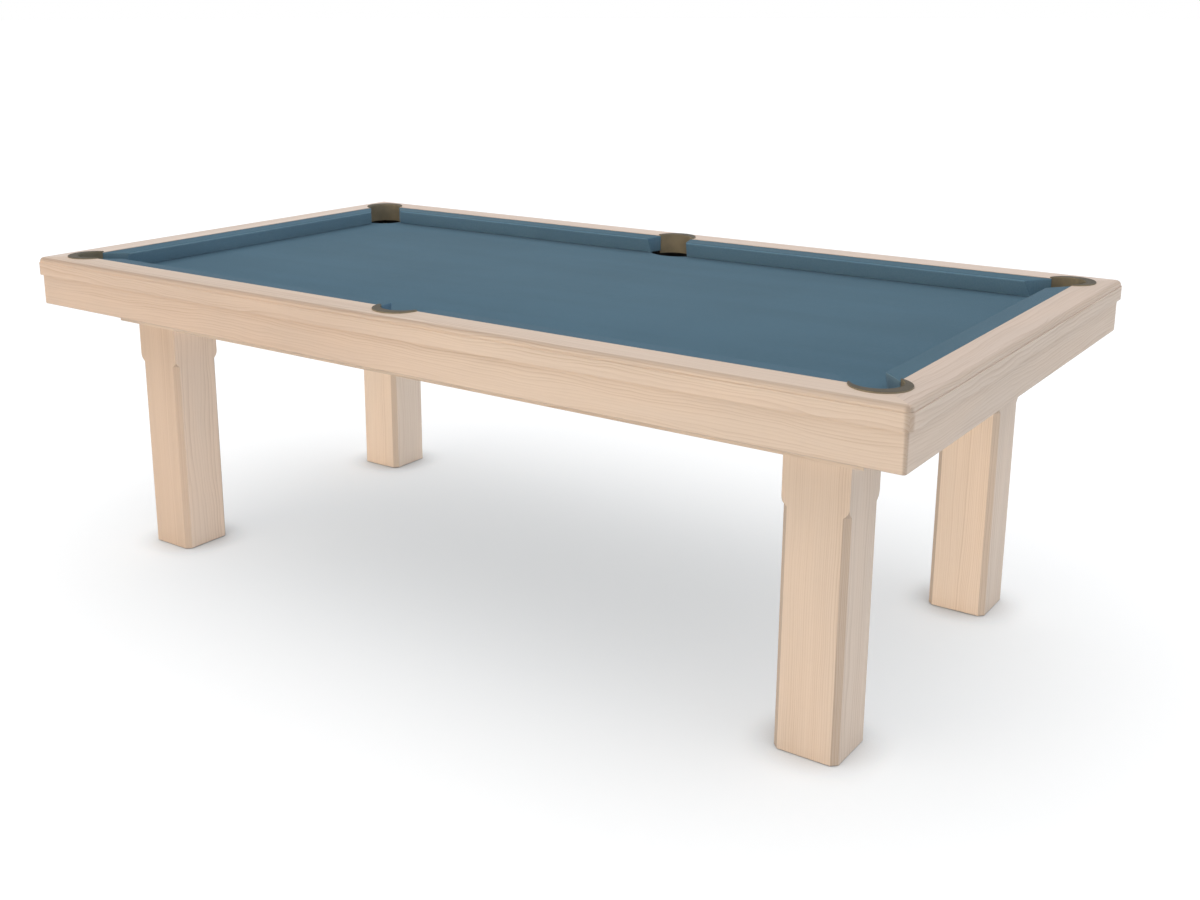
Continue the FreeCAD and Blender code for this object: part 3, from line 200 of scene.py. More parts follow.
class Nodes:
    """A node tree whose nodes are added one by one."""

    def __init__(self, tree):
        self.tree = tree
        tree.nodes.clear()

    def add(self, kind, inputs=None, **settings):
        node = self.tree.nodes.new(kind)
        for key, setting in settings.items():
            setattr(node, key, setting)
        for key, given in (inputs or {}).items():
            self.feed(node.inputs[key], given)
        return node

    def feed(self, socket, given):
        """Links a socket to the input, or sets a number or colour on it."""
        if isinstance(given, bpy.types.NodeSocket):
            self.join(given, socket)
        else:
            socket.default_value = given

    def join(self, start, end):
        self.tree.links.new(start, end)

    def place(self):
        """The point on the part, in metres."""
        return self.add("ShaderNodeTexCoord").outputs["Object"]

    def split(self, vector):
        return self.add("ShaderNodeSeparateXYZ", {0: vector}).outputs

    def vector(self, x, y, z):
        return self.add("ShaderNodeCombineXYZ", {0: x, 1: y, 2: z}).outputs[0]

    def math(self, operation, first, second=0.0, clamp=False):
        node = self.add("ShaderNodeMath", {0: first, 1: second}, operation=operation)
        node.use_clamp = clamp
        return node.outputs[0]

    def total(self, first, *others):
        for other in others:
            first = self.math("ADD", first, other)
        return first

    def product(self, first, *others):
        for other in others:
            first = self.math("MULTIPLY", first, other)
        return first

    def size_of(self, value):
        """The value without its sign."""
        return self.math("ABSOLUTE", value)

    def scaled(self, vector, scale):
        return self.add("ShaderNodeMapping", {"Vector": vector, "Scale": scale}).outputs[0]

    def noise(self, vector, scale=1.0, detail=2.0, roughness=0.5):
        return self.add(
            "ShaderNodeTexNoise",
            {"Vector": vector, "Scale": scale, "Detail": detail, "Roughness": roughness},
        ).outputs[0]

    def spread(self, value, low, high, to_low=0.0, to_high=1.0):
        """Maps low..high to to_low..to_high, smoothly and without going past them."""
        return self.add(
            "ShaderNodeMapRange",
            {
                "Value": value,
                "From Min": low,
                "From Max": high,
                "To Min": to_low,
                "To Max": to_high,
            },
            interpolation_type="SMOOTHSTEP",
        ).outputs[0]

    def blend(self, factor, first, second, mode="MIX"):
        node = self.add("ShaderNodeMix", data_type="RGBA", blend_type=mode)
        sockets = (node.inputs[0], node.inputs[6], node.inputs[7])
        for socket, given in zip(sockets, (factor, first, second)):
            self.feed(socket, given)
        return node.outputs[2]

    def tint(self, colour, by):
        """The colour multiplied by another one."""
        return self.blend(1.0, colour, solid(by), "MULTIPLY")

    def shade(self, colour, amount):
        """The colour multiplied by one amount for all three channels."""
        return self.blend(1.0, colour, self.vector(amount, amount, amount), "MULTIPLY")

    def facing(self):
        """The normal's X and Y, and how far it points up or down."""
        x, y, z = self.split(self.add("ShaderNodeNewGeometry").outputs["Normal"])
        return x, y, self.size_of(z)

    def bump(self, height, distance, strength):
        return self.add(
            "ShaderNodeBump", {"Height": height, "Distance": distance, "Strength": strength}
        ).outputs[0]


class Shader(Nodes):
    """A material with one principled surface."""

    def __init__(self, name):
        self.material = bpy.data.materials.new(name)
        self.material.use_nodes = True
        super().__init__(self.material.node_tree)
        self.output = self.add("ShaderNodeOutputMaterial")
        self.surface = self.add("ShaderNodeBsdfPrincipled")
        self.join(self.surface.outputs["BSDF"], self.output.inputs["Surface"])

    def finish(self, colour, roughness, normal, constants):
        self.feed(self.surface.inputs["Base Color"], colour)
        self.feed(self.surface.inputs["Roughness"], roughness)
        if normal is not None:
            self.join(normal, self.surface.inputs["Normal"])
        for key, constant in constants.items():
            self.surface.inputs[key].default_value = constant
        return self.material


def solid(colour):
    return (*colour, 1.0)


def times(colour, factor):
    return tuple(min(1.0, part * factor) for part in colour)


def wood(
    name,
    along,
    heart,
    seed,
    pale,
    dark,
    ring=6.2 * MM,
    contrast=0.75,
    waver=1.0,
    edge_shade=0.3,
    painted_light=None,
    painted_end_shade=None,
    top_light=None,
    core=None,
):
    """Sawn board: growth rings round a heart line along one axis, fibres, pores and painted shade
    on the rounded edges.

    heart is where the heart line crosses the other two axes, and waver scales how far the rings
    stray from straight. edge_shade sets the painted shade that darkens the rounded edges, and the
    arrises and chamfers take a fixed painted shade too. painted_light brightens the faces towards
    +X and -Y, or darkens them where it is negative, as painted light and shade, and top_light tints
    the top as painted light and shade. painted_end_shade gives where a board's darker end of
    painted shade stops and its plain tone begins, and core the half size of the table's inside,
    where the wood is painted near black as painted shade so the pockets look dark.
    """
    shader = Shader(name)
    place = shader.split(shader.place())
    order = {"X": (0, 1, 2), "Y": (1, 0, 2), "Z": (2, 0, 1)}[along]
    length, across, depth = (place[i] for i in order)

    def grain(by_length, by_width, shift, detail=2.0, roughness=0.5):
        """Noise drawn out along the board."""
        return shader.noise(
            shader.vector(
                shader.product(length, by_length),
                shader.product(across, by_width),
                shader.total(shader.product(depth, by_width), shift),
            ),
            detail=detail,
            roughness=roughness,
        )

    drift = grain(1.7, 7.0, seed)
    streak = grain(1.1, 34.0, seed * 2.0)
    patch = grain(2.3, 9.0, seed * 3.0)
    ripple = grain(6.5, 16.0, seed * 4.0)
    fibre = grain(5.0, 420.0, seed, detail=3.0, roughness=0.6)
    pore = shader.spread(grain(42.0, 1400.0, seed, detail=1.0), 0.62, 0.74)

    off_across = shader.math("SUBTRACT", across, heart[0])
    off_depth = shader.math("SUBTRACT", depth, heart[1])
    squares = shader.total(
        shader.product(off_across, off_across), shader.product(off_depth, off_depth)
    )
    reach = shader.total(
        shader.math("SQRT", squares),
        shader.product(shader.math("SUBTRACT", drift, 0.5), 50 * MM * waver),
        shader.product(shader.math("SUBTRACT", ripple, 0.5), 14 * MM * waver),
    )
    uneven = shader.noise(shader.vector(shader.product(reach, 45.0), seed, 0.0), detail=1.0)
    phase = shader.total(shader.math("DIVIDE", reach, ring), shader.product(uneven, 4.0))
    turn = shader.math("FRACT", phase)
    late = shader.math(
        "SUBTRACT", shader.math("POWER", turn, 2.6), shader.spread(turn, 0.93, 1.0), clamp=True
    )

    amount = shader.total(
        shader.product(late, shader.spread(streak, 0.3, 0.7, 0.25, 1.0), contrast),
        shader.spread(streak, 0.58, 0.78, 0.0, 0.16),
        shader.spread(fibre, 0.3, 0.75, -0.06, 0.12),
    )
    amount = shader.math("ADD", amount, shader.product(pore, 0.14), clamp=True)
    colour = shader.blend(amount, solid(pale), solid(dark))
    patched = shader.tint(colour, (0.955, 0.97, 0.985))
    colour = shader.blend(shader.spread(patch, 0.35, 0.65), colour, patched)

    to_right, to_rear, level = shader.facing()
    # Painted shade: rounded edges, arrises and chamfers darker and warmer by their normals.
    curve = shader.product(
        shader.spread(level, 0.05, 0.85), shader.spread(level, 0.94, 1.0, 1.0, 0.0)
    )
    corner = shader.spread(shader.size_of(shader.product(to_right, to_rear)), 0.08, 0.45)
    painted_edge_shade = shader.total(shader.product(curve, edge_shade), shader.product(corner, 0.26))
    colour = shader.blend(painted_edge_shade, colour, shader.tint(colour, (0.1, 0.05, 0.0)))
    # Painted light and shade on the faces towards +X and -Y.
    if painted_light:
        raised = shader.total(
            shader.product(shader.math("MAXIMUM", to_right, 0.0), painted_light[0]),
            shader.product(shader.math("MINIMUM", to_rear, 0.0), -painted_light[1]),
            1.0,
        )
        colour = shader.shade(colour, raised)
    # Painted shade: darker towards the board's low end, with the top kept plain.
    if painted_end_shade:
        plain = shader.math(
            "MAXIMUM", shader.spread(length, *painted_end_shade), shader.spread(level, 0.8, 1.0)
        )
        colour = shader.blend(plain, shader.tint(colour, (0.94, 0.9, 0.88)), colour)
    # Painted light and shade: the top takes the given tint.
    if top_light:
        colour = shader.blend(shader.spread(level, 0.8, 1.0), colour, shader.tint(colour, top_light))
    # Painted shade: the table's inside near black, so the pockets look dark.
    if core:
        within = shader.product(
            shader.math("LESS_THAN", shader.size_of(place[0]), core[0]),
            shader.math("LESS_THAN", shader.size_of(place[1]), core[1]),
        )
        colour = shader.blend(within, colour, solid(INSIDE_SHADE))

    gloss = shader.spread(fibre, 0.3, 0.7, 0.5, 0.63)
    relief = shader.total(
        shader.product(fibre, -0.5), shader.product(pore, -0.8), shader.product(late, -0.25)
    )
    return shader.finish(
        colour, gloss, shader.bump(relief, 0.25 * MM, 0.5), {"Specular IOR Level": 0.35}
    )


def cloth(name, colour, deep, along="X", upright_light=None):
    """Napped worsted: crossed yarns under a short lying nap.

    upright_light tints the faces that stand up brighter, as painted light. The ends at the pockets
    take less of that tint.
    """
    shader = Shader(name)
    place = shader.place()
    x, y, z = shader.split(place)
    length, across = (x, y) if along == "X" else (y, x)
    yarns = shader.product(
        shader.math("SINE", shader.product(length, 2 * math.pi / (0.55 * MM))),
        shader.math("SINE", shader.product(across, 2 * math.pi / (0.5 * MM))),
    )
    nap = shader.noise(
        shader.vector(shader.product(length, 700.0), shader.product(across, 1500.0), z),
        detail=3.0,
        roughness=0.65,
    )
    fuzz = shader.noise(place, scale=260.0, detail=3.0)
    brushed = shader.noise(
        shader.vector(shader.product(length, 1.5), shader.product(across, 14.0), z)
    )
    cloudy = shader.noise(place, scale=3.0, detail=3.0)
    amount = shader.total(
        shader.spread(nap, 0.3, 0.7, 0.0, 0.6), shader.spread(fuzz, 0.3, 0.7, 0.0, 0.3)
    )
    tone = shader.blend(amount, solid(deep), solid(colour))
    worn = shader.total(
        shader.spread(brushed, 0.3, 0.7, -0.03, 0.03), shader.spread(cloudy, 0.3, 0.7, 0.97, 1.03)
    )
    tone = shader.shade(tone, worn)
    if upright_light:
        # Painted light: upright faces brighter, tops and pocket ends less so.
        to_right, to_rear, level = shader.facing()
        end_on = shader.size_of(to_right if along == "X" else to_rear)
        plain = shader.math(
            "MAXIMUM", shader.spread(level, 0.35, 0.9), shader.spread(end_on, 0.15, 0.5, 0.0, 0.3)
        )
        channels = (shader.total(shader.product(plain, 1 - part), part) for part in upright_light)
        tone = shader.blend(1.0, tone, shader.vector(*channels), "MULTIPLY")
    relief = shader.total(shader.product(yarns, 0.25), nap, shader.product(fuzz, 0.5))
    return shader.finish(
        tone,
        shader.spread(nap, 0.3, 0.7, 0.86, 0.98),
        shader.bump(relief, 0.22 * MM, 0.7),
        {
            "Specular IOR Level": 0.2,
            "Sheen Weight": 0.12,
            "Sheen Roughness": 0.45,
            "Sheen Tint": (0.75, 0.85, 0.95, 1.0),
        },
    )


def moulded(name, colour, grain=900.0, roughness=0.6, painted_light=0.0):
    """Matt moulded plastic with a fine spark-eroded grain, and painted light that makes upright
    faces brighter by painted_light.
    """
    shader = Shader(name)
    place = shader.place()
    fine = shader.noise(place, scale=grain)
    broad = shader.noise(place, scale=22.0, detail=3.0)
    rub = shader.noise(shader.scaled(place, (60.0, 60.0, 9.0)), detail=3.0)
    tone = shader.blend(
        shader.spread(broad, 0.3, 0.7), solid(times(colour, 0.88)), solid(times(colour, 1.12))
    )
    tone = shader.blend(shader.spread(rub, 0.62, 0.8, 0.0, 0.25), tone, solid(times(colour, 1.5)))
    # Painted light: upright faces brighter.
    if painted_light:
        tone = shader.shade(tone, shader.spread(shader.facing()[2], 0.3, 0.9, 1 + painted_light, 1.0))
    gloss = shader.total(
        shader.spread(fine, 0.3, 0.7, roughness - 0.06, roughness + 0.06),
        shader.spread(rub, 0.6, 0.8, 0.0, -0.08),
    )
    return shader.finish(
        tone, gloss, shader.bump(fine, 0.12 * MM, 0.6), {"Specular IOR Level": 0.4}
    )


def slate_stone(name, colour):
    """Honed slate with cloudy bands and fine ground scratches."""
    shader = Shader(name)
    place = shader.place()
    cloud = shader.noise(shader.scaled(place, (5.0, 9.0, 60.0)), detail=5.0, roughness=0.6)
    speck = shader.noise(place, scale=700.0)
    scratch = shader.noise(shader.scaled(place, (18.0, 900.0, 200.0)))
    tone = shader.blend(
        shader.spread(cloud, 0.3, 0.7), solid(times(colour, 0.75)), solid(times(colour, 1.35))
    )
    tone = shader.blend(
        shader.spread(speck, 0.62, 0.75, 0.0, 0.35), tone, solid(times(colour, 2.2))
    )
    gloss = shader.spread(scratch, 0.3, 0.7, 0.5, 0.68)
    relief = shader.total(shader.product(cloud, 0.5), shader.product(scratch, 0.3))
    return shader.finish(tone, gloss, shader.bump(relief, 0.2 * MM, 0.5), {})


def steel(name, colour, metallic, roughness, scuffed):
    """Plated or coated steel: turned lines, mottled plating and small scuffs."""
    shader = Shader(name)
    place = shader.place()
    line = shader.noise(shader.scaled(place, (30.0, 30.0, 2600.0)))
    mottle = shader.noise(place, scale=160.0, detail=3.0)
    scuff = shader.noise(shader.scaled(place, (400.0, 60.0, 60.0)))
    tone = shader.blend(
        shader.spread(mottle, 0.3, 0.7), solid(times(colour, 0.86)), solid(times(colour, 1.1))
    )
    tone = shader.blend(
        shader.spread(scuff, 0.64, 0.76, 0.0, scuffed), tone, solid(times(colour, 1.25))
    )
    gloss = shader.total(
        shader.spread(line, 0.3, 0.7, roughness - 0.06, roughness + 0.06),
        shader.spread(mottle, 0.35, 0.65, -0.04, 0.06),
    )
    return shader.finish(tone, gloss, shader.bump(line, 0.05 * MM, 0.4), {"Metallic": metallic})


def dress(node_name, material):
    """Gives a CAD node its finish. Its mesh stays as it is."""
    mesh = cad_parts[node_name].data
    mesh.materials.clear()
    mesh.materials.append(material)


def nodes_named(*starts):
    return sorted(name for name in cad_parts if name.startswith(starts))


def piece_from(bm, name, material):
    """Turns the mesh under construction into a piece of the scene."""
    bmesh.ops.recalc_face_normals(bm, faces=bm.faces)
    mesh = bpy.data.meshes.new(name)
    bm.to_mesh(mesh)
    bm.free()
    mesh.shade_smooth()
    mesh.set_sharp_from_angle(angle=math.radians(40))
    mesh.materials.append(material)
    piece = bpy.data.objects.new(name, mesh)
    bpy.context.scene.collection.objects.link(piece)
    return piece


def wood_faces(sizes):
    """Distances from the table's middle to the inner faces of the end rails and the long rails."""
    return sizes.cushion_width - PLAY_LOW.x, sizes.cushion_width - PLAY_LOW.y


class CushionShape:
    """The cushion's profile, and where it ends at the pockets.

    u runs from the wood to the nose. The ends are distances along the rail from its middle.
    """

    def __init__(self, sizes):
        self.sizes = sizes
        self.tip_height = RAIL_TOP - sizes.cushion_drop - sizes.cushion_fall - sizes.nose_radius
        self.foot = sizes.cushion_width - sizes.nose_overhang
        self.base = BED_HIGH.z + sizes.cushion_base
        lean = math.atan2(self.tip_height - self.base, sizes.nose_overhang)
        self.arc_start = sizes.cushion_width - sizes.nose_radius
        self.arc_end = sizes.cushion_width - sizes.nose_radius * (1 - math.sin(lean))
        self.arc_low = self.tip_height - sizes.nose_radius * math.cos(lean)

    def top(self, u):
        sizes = self.sizes
        if u > self.arc_start:
            past_arc = u - self.arc_start
            return self.tip_height + math.sqrt(max(0.0, sizes.nose_radius**2 - past_arc**2))
        height = RAIL_TOP - sizes.cushion_drop - sizes.cushion_fall * u / sizes.cushion_width
        into_tuck = sizes.cushion_gap + sizes.tuck_radius - u
        if into_tuck > 0:
            radius = sizes.tuck_radius
            height -= radius - math.sqrt(max(0.0, radius**2 - into_tuck**2))
        return height

    def under(self, u):
        if u <= self.foot:
            return self.base
        if u <= self.arc_end:
            rise = (self.arc_low - self.base) / (self.arc_end - self.foot)
            return self.base + rise * (u - self.foot)
        past_arc = u - self.arc_start
        return self.tip_height - math.sqrt(max(0.0, self.sizes.nose_radius**2 - past_arc**2))

    def stations(self):
        """Places from the wood to the nose, close together where the profile bends."""
        tuck_steps, top_steps, nose_steps = 4, 16, 7
        sizes = self.sizes
        steps = [
            sizes.cushion_gap + sizes.tuck_radius * (1 - math.cos(QUARTER_TURN * i / tuck_steps))
            for i in range(tuck_steps + 1)
        ]
        start = steps[-1]
        steps += [
            start + (self.arc_start - start) * i / top_steps for i in range(1, top_steps + 1)
        ]
        steps += [
            self.arc_start + sizes.nose_radius * math.sin(QUARTER_TURN * i / nose_steps)
            for i in range(1, nose_steps + 1)
        ]
        steps += [self.foot, self.arc_end]
        return sorted({round(step, 7) for step in steps})

    def side_end(self, u):
        """Where the jaw at the side pocket is."""
        sizes = self.sizes
        return sizes.side_throat + (sizes.side_mouth - sizes.side_throat) * u / sizes.cushion_width

    def corner_end(self, u, wood_edge):
        """Where the jaw at the corner is, for a rail whose opening ends at wood_edge."""
        sizes = self.sizes
        at_wood = wood_edge - sizes.corner_throat
        at_nose = wood_edge - sizes.cushion_width - sizes.corner_mouth
        return at_wood + (at_nose - at_wood) * u / sizes.cushion_width


def cushion_mesh(shape, low_end, high_end, to_place):
    """Lofts the profile along the rail, with its ends cut by the jaws and rounded off."""
    radius = shape.sizes.jaw_radius
    stations = shape.stations()
    first, last = stations[0], stations[-1]
    bm = bmesh.new()

    def ring(end, sign, angle):
        """The profile near one end, smaller the further it is rounded off."""
        inset = radius * (1 - math.sin(angle))
        back_off = radius * (1 - math.cos(angle))
        squeeze = (last - first - 2 * inset) / (last - first)
        tops, bottoms = [], []
        for u in stations:
            v = first + inset + (u - first) * squeeze
            high, low = shape.top(u), shape.under(u)
            middle = (high + low) / 2
            s = end(v) - sign * back_off
            tops.append(bm.verts.new(to_place(s, v, max(high - inset, middle))))
            bottoms.append(bm.verts.new(to_place(s, v, min(low + inset, middle))))
        return tops, bottoms

    angles = [QUARTER_TURN * i / JAW_STEPS for i in range(JAW_STEPS + 1)]
    rings = [ring(low_end, -1, angle) for angle in angles]
    rings += [ring(high_end, 1, angle) for angle in reversed(angles)]
    for (tops, bottoms), (next_tops, next_bottoms) in zip(rings, rings[1:]):
        for i in range(len(stations) - 1):
            bm.faces.new((tops[i], tops[i + 1], next_tops[i + 1], next_tops[i]))
            bm.faces.new((bottoms[i], next_bottoms[i], next_bottoms[i + 1], bottoms[i + 1]))
        bm.faces.new((tops[0], next_tops[0], next_bottoms[0], bottoms[0]))
        bm.faces.new((tops[-1], bottoms[-1], next_bottoms[-1], next_tops[-1]))
    for tops, bottoms in (rings[0], rings[-1]):
        for i in range(len(stations) - 1):
            bm.faces.new((tops[i], bottoms[i], bottoms[i + 1], tops[i + 1]))
    bmesh.ops.remove_doubles(bm, verts=bm.verts, dist=0.01 * MM)
    return bm


class POOLTABLE_OT_wood(bpy.types.Operator):
    """Finish the rails, aprons, legs and frame in limed oak and planed timber"""

    bl_idname = "pool_table.wood"
    bl_label = "Wood finish"

    def execute(self, context):
        colours = context.scene.pool_table_colours
        oak = tuple(colours.wood_pale), tuple(colours.wood_dark)
        timber = tuple(colours.timber), times(tuple(colours.timber), 0.68)
        seed = self.dress_boards(3.0, oak)
        seed = self.dress_legs(seed, oak)
        for name in ("beam_front", "beam_rear"):
            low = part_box(name)[0]
            heart = (low.y - 50 * MM, low.z - 20 * MM)
            dress(name, wood(f"oak_{name}", "X", heart, seed, *oak))
            seed += 7.0
        for name in ("beam_left", "beam_right", "cross_beam_left", "cross_beam_right"):
            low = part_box(name)[0]
            heart = (low.x - 40 * MM, low.z - 30 * MM)
            dress(name, wood(f"timber_{name}", "Y", heart, seed, *timber, ring=5.5 * MM))
            seed += 7.0
        block = wood("timber_blocks", "X", (0.3, 0.4), seed, *timber, ring=5.0 * MM)
        for name in ("corner_blocks", "apron_corner_blocks"):
            dress(name, block)
        return {"FINISHED"}

    def dress_boards(self, seed, oak):
        """Rails and aprons. The front boards carry painted shade, darker towards their left end."""
        core = (
            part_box("apron_right")[1].x - SHADE_INSET,
            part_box("apron_rear")[1].y - SHADE_INSET,
        )
        for side, along, sign, edge_shade, painted_end_shade, top_light in (
            ("front", "X", -1, 0.3, (-0.25, 0.35), None),
            ("rear", "X", 1, 0.3, None, (1.045, 1.075, 1.14)),
            ("left", "Y", -1, 0.1, None, (1.1, 1.155, 1.24)),
            ("right", "Y", 1, 0.1, None, (0.93, 0.94, 0.97)),
        ):
            rail_heart, apron_heart = (
                (sign * (RAIL_EDGE[along] + out), RAIL_TOP - down)
                for out, down in (RAIL_HEART[along], APRON_HEART[along])
            )
            looks = {"painted_light": BOARD_FACING_SHADE, "painted_end_shade": painted_end_shade}
            rail = wood(
                f"oak_rail_{side}", along, rail_heart, seed, *oak,
                edge_shade=edge_shade, top_light=top_light, **looks,
            )
            dress(f"rail_{side}", rail)
            apron = wood(
                f"oak_apron_{side}", along, apron_heart, seed + 5.0, *oak, core=core, **looks
            )
            dress(f"apron_{side}", apron)
            seed += 11.0
        return seed

    def dress_legs(self, seed, oak):
        """Posts with finer, straighter rings and painted light and shade on their faces. The front
        left one is darker all over.
        """
        for name, painted_light in LEG_FACING_LIGHT.items():
            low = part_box(name)[0]
            heart = (low.x - 350 * MM, low.y - 150 * MM)
            tone = (0.94, 0.9, 0.87) if name == "leg_front_left" else (1.0, 1.0, 1.0)
            pale, dark = ([part * by for part, by in zip(colour, tone)] for colour in oak)
            post = wood(
                f"oak_{name}", "Z", heart, seed, pale, dark,
                ring=4.4 * MM, contrast=0.7, waver=0.55, painted_light=painted_light,
            )
            dress(name, post)
            seed += 7.0
        return seed


class POOLTABLE_OT_slates(bpy.types.Operator):
    """Finish the three slates of the bed"""

    bl_idname = "pool_table.slates"
    bl_label = "Slates"

    def execute(self, context):
        stone = slate_stone("honed_slate", tuple(context.scene.pool_table_colours.slate))
        for name in nodes_named("slate_left", "slate_middle", "slate_right"):
            dress(name, stone)
        return {"FINISHED"}


class POOLTABLE_OT_pockets(bpy.types.Operator):
    """Finish the pocket liners and the catch cups"""

    bl_idname = "pool_table.pockets"
    bl_label = "Pockets"

    def execute(self, context):
        bronze = tuple(context.scene.pool_table_colours.liner)
        # Painted light: the liners' upright faces brighter.
        liner = moulded("pocket_bronze", bronze, roughness=0.62, painted_light=1.63)
        cup = moulded("cup_black", (0.018, 0.018, 0.018), grain=600.0, roughness=0.7)
        for name in nodes_named("pocket_liner"):
            dress(name, liner)
        for name in nodes_named("pocket_cup"):
            dress(name, cup)
        return {"FINISHED"}


class POOLTABLE_OT_fixings(bpy.types.Operator):
    """Finish the bolts, screws, brackets, sleeves and feet"""

    bl_idname = "pool_table.fixings"
    bl_label = "Fixings and feet"

    def execute(self, context):
        zinc = steel("zinc_plate", (0.62, 0.62, 0.6), 1.0, 0.35, 0.4)
        black = steel("black_coat", (0.035, 0.035, 0.036), 0.0, 0.5, 0.15)
        pad = moulded("foot_black", (0.025, 0.025, 0.026), grain=500.0, roughness=0.55)
        for name in nodes_named(
            "leg_bolts", "leg_washers", "leg_inserts", "foot_inserts", "foot_stem",
            "slate_screws", "cup_screws", "bracket_screws", "rail_bolts",
        ):
            dress(name, zinc)
        dress("apron_brackets", black)
        for name in nodes_named("foot_pad"):
            dress(name, pad)
        return {"FINISHED"}


class POOLTABLE_OT_bed_cloth(bpy.types.Operator):
    """Stretch the bed cloth over the slates and turn it down into the pockets"""

    bl_idname = "pool_table.bed_cloth"
    bl_label = "Bed cloth"

    corner_radius: bpy.props.FloatProperty(
        name="Corner hole",
        description="Radius of the corner holes",
        default=60.0 * MM,
        unit="LENGTH",
    )
    corner_inset: bpy.props.FloatProperty(
        name="Corner inset",
        description="Corner hole's middle from the wood",
        default=27.5 * MM,
        unit="LENGTH",
    )
    side_radius: bpy.props.FloatProperty(
        name="Side hole",
        description="Radius of the side notches",
        default=80.0 * MM,
        unit="LENGTH",
    )
    side_offset: bpy.props.FloatProperty(
        name="Side offset",
        description="Side notch's middle behind the wood",
        default=19.5 * MM,
        unit="LENGTH",
    )

    def execute(self, context):
        sizes = context.scene.pool_table_sizes
        colours = context.scene.pool_table_colours
        bm = self.sheet_mesh(sizes)
        area = sum(face.calc_area() for face in bm.faces)
        finish = cloth("bed_cloth_blue", tuple(colours.cloth), tuple(colours.cloth_deep))
        piece = piece_from(bm, "bed_cloth_sheet", finish)
        thickness = piece.modifiers.new("thickness", "SOLIDIFY")
        thickness.thickness = sizes.cloth_thickness
        thickness.offset = 0.0
        piece.modifiers.new("even_shading", "WEIGHTED_NORMAL")
        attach(piece, BODY)
        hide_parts("bed_cloth")
        return {"FINISHED"}

    def pocket_edges(self, sizes):
        """The six pockets' edges in order round the cloth: points with inward directions."""
        wood_x, wood_y = wood_faces(sizes)
        corner_x, corner_y = wood_x - self.corner_inset, wood_y - self.corner_inset
        side_y = wood_y + self.side_offset

        def edge(centre, radius, angles, turn=(1, 1)):
            points = [
                centre + radius * Vector((turn[0] * math.cos(angle), turn[1] * math.sin(angle)))
                for angle in angles
            ]
            return [(point, (centre - point).normalized()) for point in points]

        def steps(start, end):
            return [start + (end - start) * i / ARC_STEPS for i in range(ARC_STEPS + 1)]

        reach = math.acos(min(1.0, (BED_HIGH.x - corner_x) / self.corner_radius))
        rise = math.asin(min(1.0, (BED_HIGH.y - corner_y) / self.corner_radius))
        corner_angles = steps(-reach, -math.pi - rise)

        def corner(turn_x, turn_y):
            centre = Vector((corner_x * turn_x, corner_y * turn_y))
            return edge(centre, self.corner_radius, corner_angles, (turn_x, turn_y))

        open_half = math.acos(min(1.0, (side_y - BED_HIGH.y) / self.side_radius))
        rear_angles = steps(-QUARTER_TURN + open_half, -QUARTER_TURN - open_half)
        front_angles = steps(QUARTER_TURN + open_half, QUARTER_TURN - open_half)
        return [
            corner(1, 1),
            edge(Vector((0.0, side_y)), self.side_radius, rear_angles),
            corner(-1, 1)[::-1],
            corner(-1, -1),
            edge(Vector((0.0, -side_y)), self.side_radius, front_angles),
            corner(1, -1)[::-1],
        ]

    def sheet_mesh(self, sizes):
        """The flat cloth with its lips into the pockets, at the middle of its thickness."""
        middle = (BED_LOW.z + BED_HIGH.z) / 2
        half = sizes.cloth_thickness / 2
        turned = (
            (0.3 * half, -0.1 * half),
            (0.8 * half, -0.5 * half),
            (1.15 * half, -1.3 * half),
            (1.15 * half, -sizes.cloth_lip),
        )
        bm = bmesh.new()
        edges = self.pocket_edges(sizes)
        rims = [[bm.verts.new((*point, middle)) for point, inward in edge] for edge in edges]
        bm.faces.new([vert for rim in rims for vert in rim])
        for edge, before in zip(edges, rims):
            for inward_by, down_by in turned:
                row = [
                    bm.verts.new((*(point + inward * inward_by), middle + down_by))
                    for point, inward in edge
                ]
                for i in range(ARC_STEPS):
                    bm.faces.new((before[i], before[i + 1], row[i + 1], row[i]))
                before = row
        bmesh.ops.triangulate(bm, faces=[face for face in bm.faces if len(face.verts) > 4])
        return bm


class POOLTABLE_OT_cushions(bpy.types.Operator):
    """Make the six cloth-covered cushions with their jaws"""

    bl_idname = "pool_table.cushions"
    bl_label = "Cushions"

    def execute(self, context):
        sizes = context.scene.pool_table_sizes
        colours = context.scene.pool_table_colours
        shape = CushionShape(sizes)
        blue = tuple(colours.cloth), tuple(colours.cloth_deep)
        # Painted light: the cushions' upright faces brighter.
        long_cloth = cloth("cushion_cloth_long", *blue, "X", upright_light=(2.35, 1.97, 2.02))
        end_cloth = cloth("cushion_cloth_end", *blue, "Y", upright_light=(3.2, 2.33, 2.08))
        wood_x, wood_y = wood_faces(sizes)

        def corner_on_long(u):
            return shape.corner_end(u, wood_x)

        def corner_on_end(u):
            return shape.corner_end(u, wood_y)

        def mirrored_corner_on_end(u):
            return -corner_on_end(u)

        for back, sign in (("front", -1), ("rear", 1)):
            for half, turn in (("left", -1), ("right", 1)):
                def on_long(s, u, z, sign=sign, turn=turn):
                    return Vector((turn * s, sign * (wood_y - u), z))

                bm = cushion_mesh(shape, shape.side_end, corner_on_long, on_long)
                self.settle(bm, f"{back}_{half}", long_cloth)
        for half, turn in (("left", -1), ("right", 1)):
            def on_end(s, u, z, turn=turn):
                return Vector((turn * (wood_x - u), s, z))

            bm = cushion_mesh(shape, mirrored_corner_on_end, corner_on_end, on_end)
            self.settle(bm, half, end_cloth)
        return {"FINISHED"}

    def settle(self, bm, place, finish):
        piece = piece_from(bm, f"cushion_cover_{place}", finish)
        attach(piece, BODY)
        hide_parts(f"cushion_{place}", "cushion_backings")


